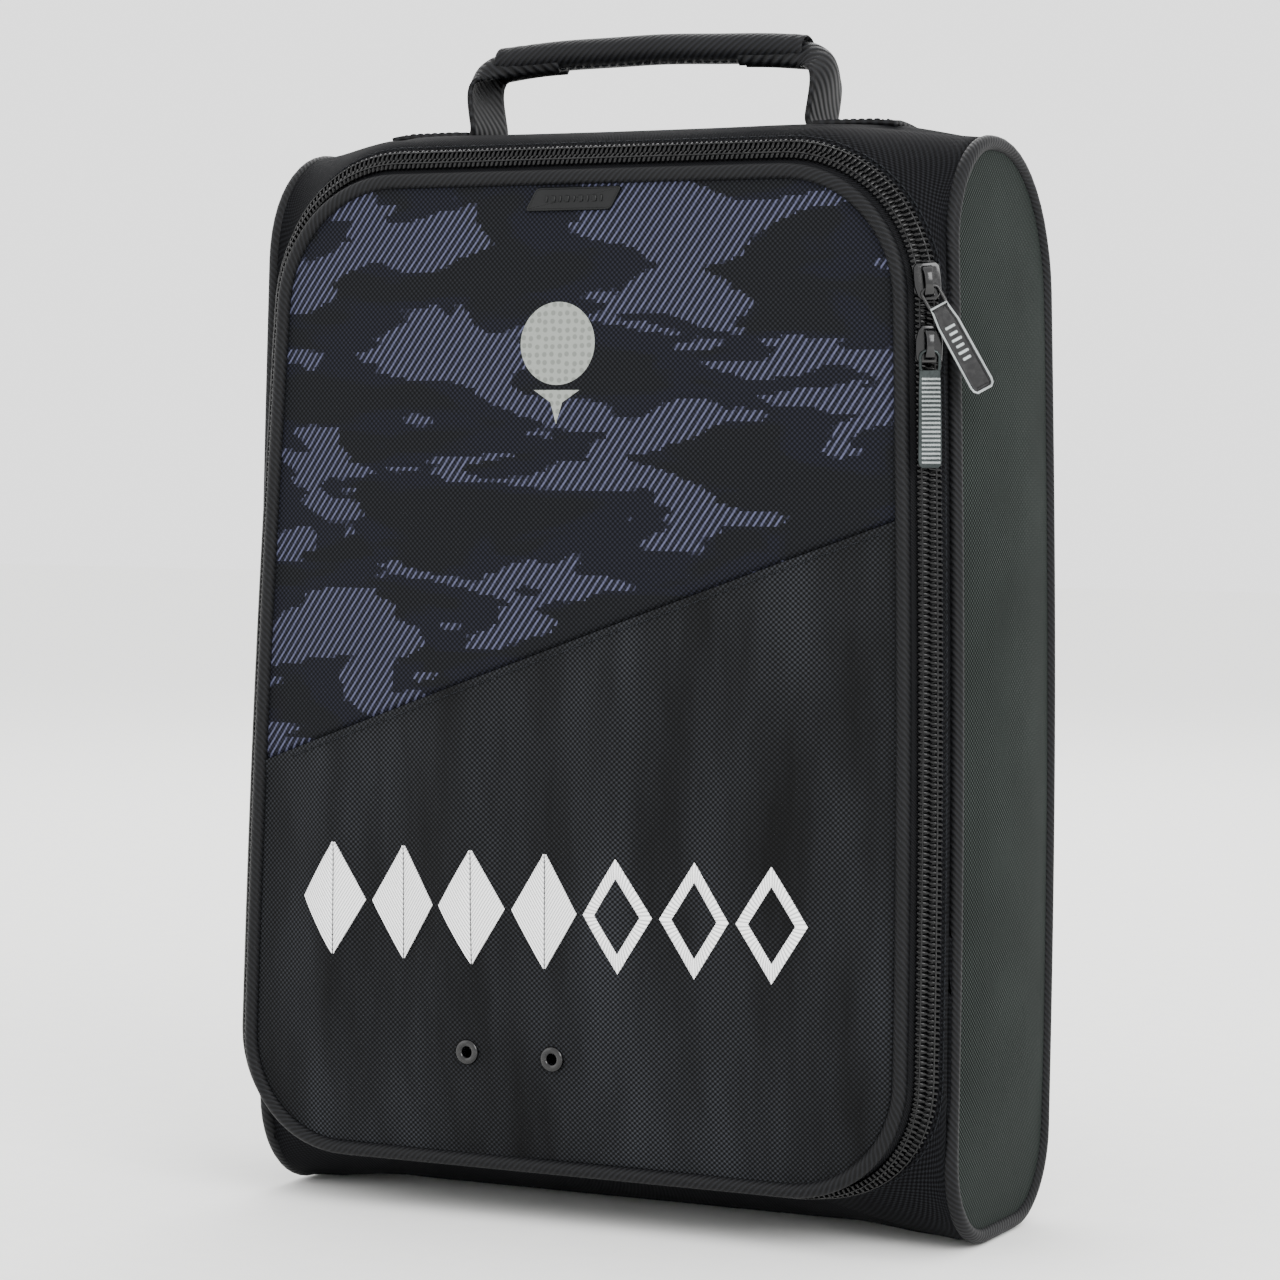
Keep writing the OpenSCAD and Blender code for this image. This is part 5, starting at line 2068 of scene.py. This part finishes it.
# One leg of the webbing, from its foot into the grip: distance from the middle, height over the top
LEG_LINE = (
    (66.5, 1.0), (64.4, 1.3), (63.2, 3.6), (64.2, 9.0), (66.6, 16.0), (67.6, 21.0), (66.0, 26.0),
    (61.0, 29.6), (54.0, 30.6), (44.0, 31.4), (34.0, 31.8),
)


@dataclass
class Handle:
    """Webbing handle: two ends sewn flat to the top, legs that roll into a wrapped grip."""

    finishes: Finishes
    y: float = -5.0
    web_w: float = 25.0
    web_t: float = 1.9
    foot_x: float = 64.0
    tab_l: float = 30.0
    top_z: float = 360.0
    grip_half: float = 57.0
    grip_z: float = 393.0
    grip_r: float = 4.9
    grip_wide: float = 6.2
    bow: float = 2.2

    def grip_height(self, x: np.ndarray) -> np.ndarray:
        """Gives the height of the grip's middle line, which bows up."""
        return self.grip_z - 1.4 + self.bow * (1 - (np.asarray(x) / self.grip_half) ** 2)

    def tab(self, sign: int) -> bpy.types.Object:
        """Lays one sewn end of the webbing on the top, with its box of stitches."""
        shell = bpy.data.objects["wrap_shell"]
        graph = bpy.context.evaluated_depsgraph_get()
        tree = BVHTree.FromObject(shell, graph)
        x = self.foot_x + np.linspace(0.6, self.tab_l, 16)
        y = self.y + np.linspace(-self.web_w / 2, self.web_w / 2, 13)
        rows = []
        for px in x:
            row = []
            for py in y:
                hit = tree.ray_cast(Vector((sign * px, py, 420)) * MM, Vector((0, 0, -1)))
                row.append((sign * px, py, (hit[0].z / MM if hit[0] else self.top_z) + self.web_t * 0.98))
            rows.append(row)
        points = np.array(rows)
        cloth = np.stack([points[..., 1], points[..., 0]], -1)
        word = "right" if sign > 0 else "left"
        name = f"handle_end_{word}"
        obj = cloth_sheet(name, self.finishes["webbing"], points, cloth, (0, 0, 180), self.web_t)
        stitches = Draft()
        top = points + np.array([0, 0, 0.05])
        low, high = 2, 14
        paths = [top[low:high, 1], top[high - 1, 1:-1], top[low:high, -2][::-1], top[low, 1:-1][::-1]]
        cross = np.linspace(0, 1, 12)
        for flip in (False, True):
            rows_at = low + cross * (high - 1 - low)
            cols_at = (1 - cross if flip else cross) * (len(y) - 3) + 1
            paths.append(np.array([top[int(round(a)), int(round(b))] for a, b in zip(rows_at, cols_at)]))
        for path in paths:
            stitch_row(stitches, path, np.tile([0.0, 0.0, 1.0], (len(path), 1)), 2.8, 0.3)
        sewn = stitches.build(f"handle_end_stitches_{word}", self.finishes.thread, 50)
        finish_piece(sewn, "bag")
        return finish_piece(obj, "bag", (f"handle_tab_{word}",))

    def webbing(self) -> bpy.types.Object:
        """Draws the legs: flat where they rise from the top, rolled up where they enter the grip."""
        draft = Draft()
        across = np.linspace(-1, 1, 15)
        foot = self.top_z + BODY.crown
        for sign in (-1, 1):
            keys = np.array([(x, foot + rise) for x, rise in LEG_LINE])
            t = np.linspace(0, len(keys) - 1, 56)
            line = np.stack([np.interp(t, np.arange(len(keys)), keys[:, i]) for i in (0, 1)], -1)
            for _ in range(6):
                line[1:-1] = (line[:-2] + 2 * line[1:-1] + line[2:]) / 4
            roll = 0.04 + 2.45 * smooth_step(14, 52, np.arange(len(line)))
            radius = self.web_w / 2 / roll
            radius = np.minimum(radius, 400)
            tangent = unit(np.gradient(line, axis=0))
            under = np.stack([-tangent[:, 1], tangent[:, 0]], -1)
            angle = roll[:, None] * across[None]
            dip = radius[:, None] * (1 - np.cos(angle))
            # The rolled edge tucks underneath, towards the inside of the handle
            y = self.y + radius[:, None] * np.sin(angle)
            inward = under[:, None] * dip[..., None]
            x = line[:, None, 0] + inward[..., 0]
            z = line[:, None, 1] + inward[..., 1]
            points = np.stack([sign * x, y, z], -1)
            run = run_length(line)
            cloth = np.stack(
                [
                    np.broadcast_to(across * self.web_w / 2, points.shape[:2]),
                    np.broadcast_to(run[:, None], points.shape[:2]),
                ],
                -1,
            )
            grid = points if sign > 0 else points[:, ::-1]
            draft.grid(grid, cloth if sign > 0 else cloth[:, ::-1])
        obj = draft.build("handle_legs", self.finishes["webbing"], SOFT_EDGE)
        thicken(obj, self.web_t * 0.8)
        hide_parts("handle_webbing")
        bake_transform(obj)
        return obj

    def grip(self) -> bpy.types.Object:
        """Wraps the padded grip: a bowed sleeve that creases near its ends and closes along a seam."""
        count, sides = 90, 32
        x = np.linspace(-self.grip_half, self.grip_half, count)
        turn = full_turn(sides)
        end = smooth_step(0.7, 1.0, np.abs(x) / self.grip_half)
        rings = []
        for i in range(count):
            crease = 0.16 * end[i] * math.sin(x[i] * 1.15) * np.sin(turn * 2 + x[i] * 0.12)
            soft = 0.12 * math.sin(x[i] * 0.16 + 0.8) * np.cos(turn - 1.2)
            seam = 0.5 * np.exp(-(((turn - 4.9) / 0.16) ** 2)) - 0.45 * np.exp(-(((turn - 5.25) / 0.1) ** 2))
            size = 1 + crease / 4 + (soft + seam) / self.grip_r
            rings.append(
                np.stack(
                    [
                        np.full(sides, x[i]),
                        self.y + self.grip_wide * np.cos(turn) * size,
                        float(self.grip_height(x[i])) + self.grip_r * np.sin(turn) * size,
                    ],
                    -1,
                )
            )
        rings = np.stack(rings)
        # The ends are turned in round the webbing
        middle = rings.mean(1, keepdims=True)
        for row, share, push in ((0, 0.9, -0.5), (-1, 0.9, 0.5)):
            lip = middle[row] + (rings[row] - middle[row]) * share + np.array([push, 0, 0])
            inner = middle[row] + (rings[row] - middle[row]) * 0.72 + np.array([-3 * push, 0, 0])
            rings = (
                np.concatenate([[inner, lip], rings]) if row == 0 else np.concatenate([rings, [lip, inner]])
            )
            middle = rings.mean(1, keepdims=True)
        around = np.linspace(0, 2 * math.pi * (self.grip_r + self.grip_wide) / 2, sides + 1)
        along = np.concatenate([[0], np.cumsum(np.abs(np.diff(rings[:, 0, 0])) + 1e-3)])
        cloth = np.stack(np.meshgrid(around, along), -1)
        draft = Draft()
        index = draft.grid(rings, cloth, close_columns=True)
        draft.cap(index[0][::-1])
        draft.cap(index[-1])
        obj = draft.solid("grip_wrap", self.finishes["grip_fabric"], 50)
        stitches = Draft()
        sx = np.linspace(-self.grip_half + 3, self.grip_half - 3, 60)
        a = 4.45
        path = np.stack(
            [
                sx,
                self.y + (self.grip_wide + 0.1) * math.cos(a) + 0 * sx,
                self.grip_height(sx) + (self.grip_r + 0.1) * math.sin(a),
            ],
            -1,
        )
        stitch_row(stitches, path, np.tile([0.0, math.cos(a), math.sin(a)], (len(path), 1)), 3.2, 0.28)
        sewn = stitches.build("grip_stitches", self.finishes.thread, 50)
        finish_piece(sewn, "handle")
        return finish_piece(obj, "handle", ("grip_sleeve",))

    def build(self) -> list[bpy.types.Object]:
        """Builds the whole handle."""
        return [self.tab(-1), self.tab(1), self.webbing(), self.grip()]


# ---------------------------------------------------------------- studio


@dataclass(frozen=True)
class Studio:
    """Pale floor, soft light from both sides and above, and the camera."""

    target: tuple[float, float, float] = (-5.64, 0.0, 193.2)
    azimuth: float = 0.4518
    elevation: float = 0.0481
    roll: float = 0.0069
    distance: float = 1327.9
    lens_mm: float = 108.9

    def camera(self) -> None:
        """Sets the camera up."""
        back = Vector(
            (
                math.sin(self.azimuth) * math.cos(self.elevation),
                -math.cos(self.azimuth) * math.cos(self.elevation),
                math.sin(self.elevation),
            )
        )
        data = bpy.data.cameras.new("view")
        data.sensor_width = 36.0
        data.lens = self.lens_mm
        data.clip_start = 0.01
        camera = bpy.data.objects.new("view", data)
        camera.location = (Vector(self.target) + back * self.distance) * MM
        aim = (-back).to_track_quat("-Z", "Y").to_matrix().to_4x4()
        spin = Matrix.Rotation(self.roll, 4, "Z")
        camera.matrix_world = Matrix.Translation(camera.location) @ aim @ spin
        bpy.context.scene.collection.objects.link(camera)
        bpy.context.scene.camera = camera

    def softbox(self, name: str, place: Sequence[float], size: float, power: float) -> None:
        """Hangs a square softbox that faces the bag.

        Args:
            name: Its name.
            place: Where it hangs, in metres.
            size: Its width and height, in metres.
            power: Its power in watts.
        """
        data = bpy.data.lights.new(name, "AREA")
        data.shape = "SQUARE"
        data.size = size
        data.energy = power
        light = bpy.data.objects.new(name, data)
        light.location = place
        aim = Vector((0, 0, 0.2)) - Vector(place)
        light.rotation_euler = aim.to_track_quat("-Z", "Y").to_euler()
        bpy.context.scene.collection.objects.link(light)

    def build(self) -> None:
        """Builds the floor, the lights, the world and the camera."""
        draft = Draft()
        wide = 6000.0
        draft.grid(
            np.array([[(-wide, -wide, 0.0), (wide, -wide, 0.0)], [(-wide, wide, 0.0), (wide, wide, 0.0)]])
        )
        paper = Solid("white_backdrop_paper", "#fafaf8", "#fcfcfa", 0.9, 2.0, 0.01).dress()
        floor = draft.build("floor", paper)
        floor.location.z = -0.0005
        self.softbox("key", (1.6, -1.2, 1.3), 1.2, 44.0)
        self.softbox("fill", (-1.7, -1.6, 1.0), 1.6, 12.0)
        self.softbox("rim", (-0.6, 1.6, 1.6), 1.2, 20.0)
        world = bpy.data.worlds.new("white_room")
        world.use_nodes = True
        world.node_tree.nodes["Background"].inputs[0].default_value = linear("#ffffff")
        world.node_tree.nodes["Background"].inputs[1].default_value = 2.1
        bpy.context.scene.world = world
        self.camera()


# ---------------------------------------------------------------- the whole


def dress_frame_nodes(finishes: Finishes) -> None:
    """Gives the frame's own hidden stiffeners their materials."""
    for node, slot in (("base_board", "board"), ("handle_reinforcement", "webbing")):
        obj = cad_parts[node]
        obj.data.materials.clear()
        obj.data.materials.append(finishes[slot])
        LOG.info("%s kept from the frame", node)


def main() -> None:
    """Builds the bag and the studio."""
    logging.basicConfig(level=logging.INFO, format="%(name)s: %(message)s")
    finishes = Finishes()
    dress_frame_nodes(finishes)
    WrapShell(finishes).build()
    for sign in (-1, 1):
        SideWall(finishes, sign).build()
    door = Door(finishes)
    door.build()
    DoorTrim(finishes, door).build()
    Zip(finishes).build()
    Slider(finishes, "upper", 118.784, 311.5, 5.97, True, PullFace.BARS, 24.0).build()
    Slider(finishes, "lower", 119.206, 292.0, 0.6366, False, PullFace.RIBS, 0.0).build()
    Handle(finishes).build()
    Studio().build()


if __name__ == "__main__":
    main()
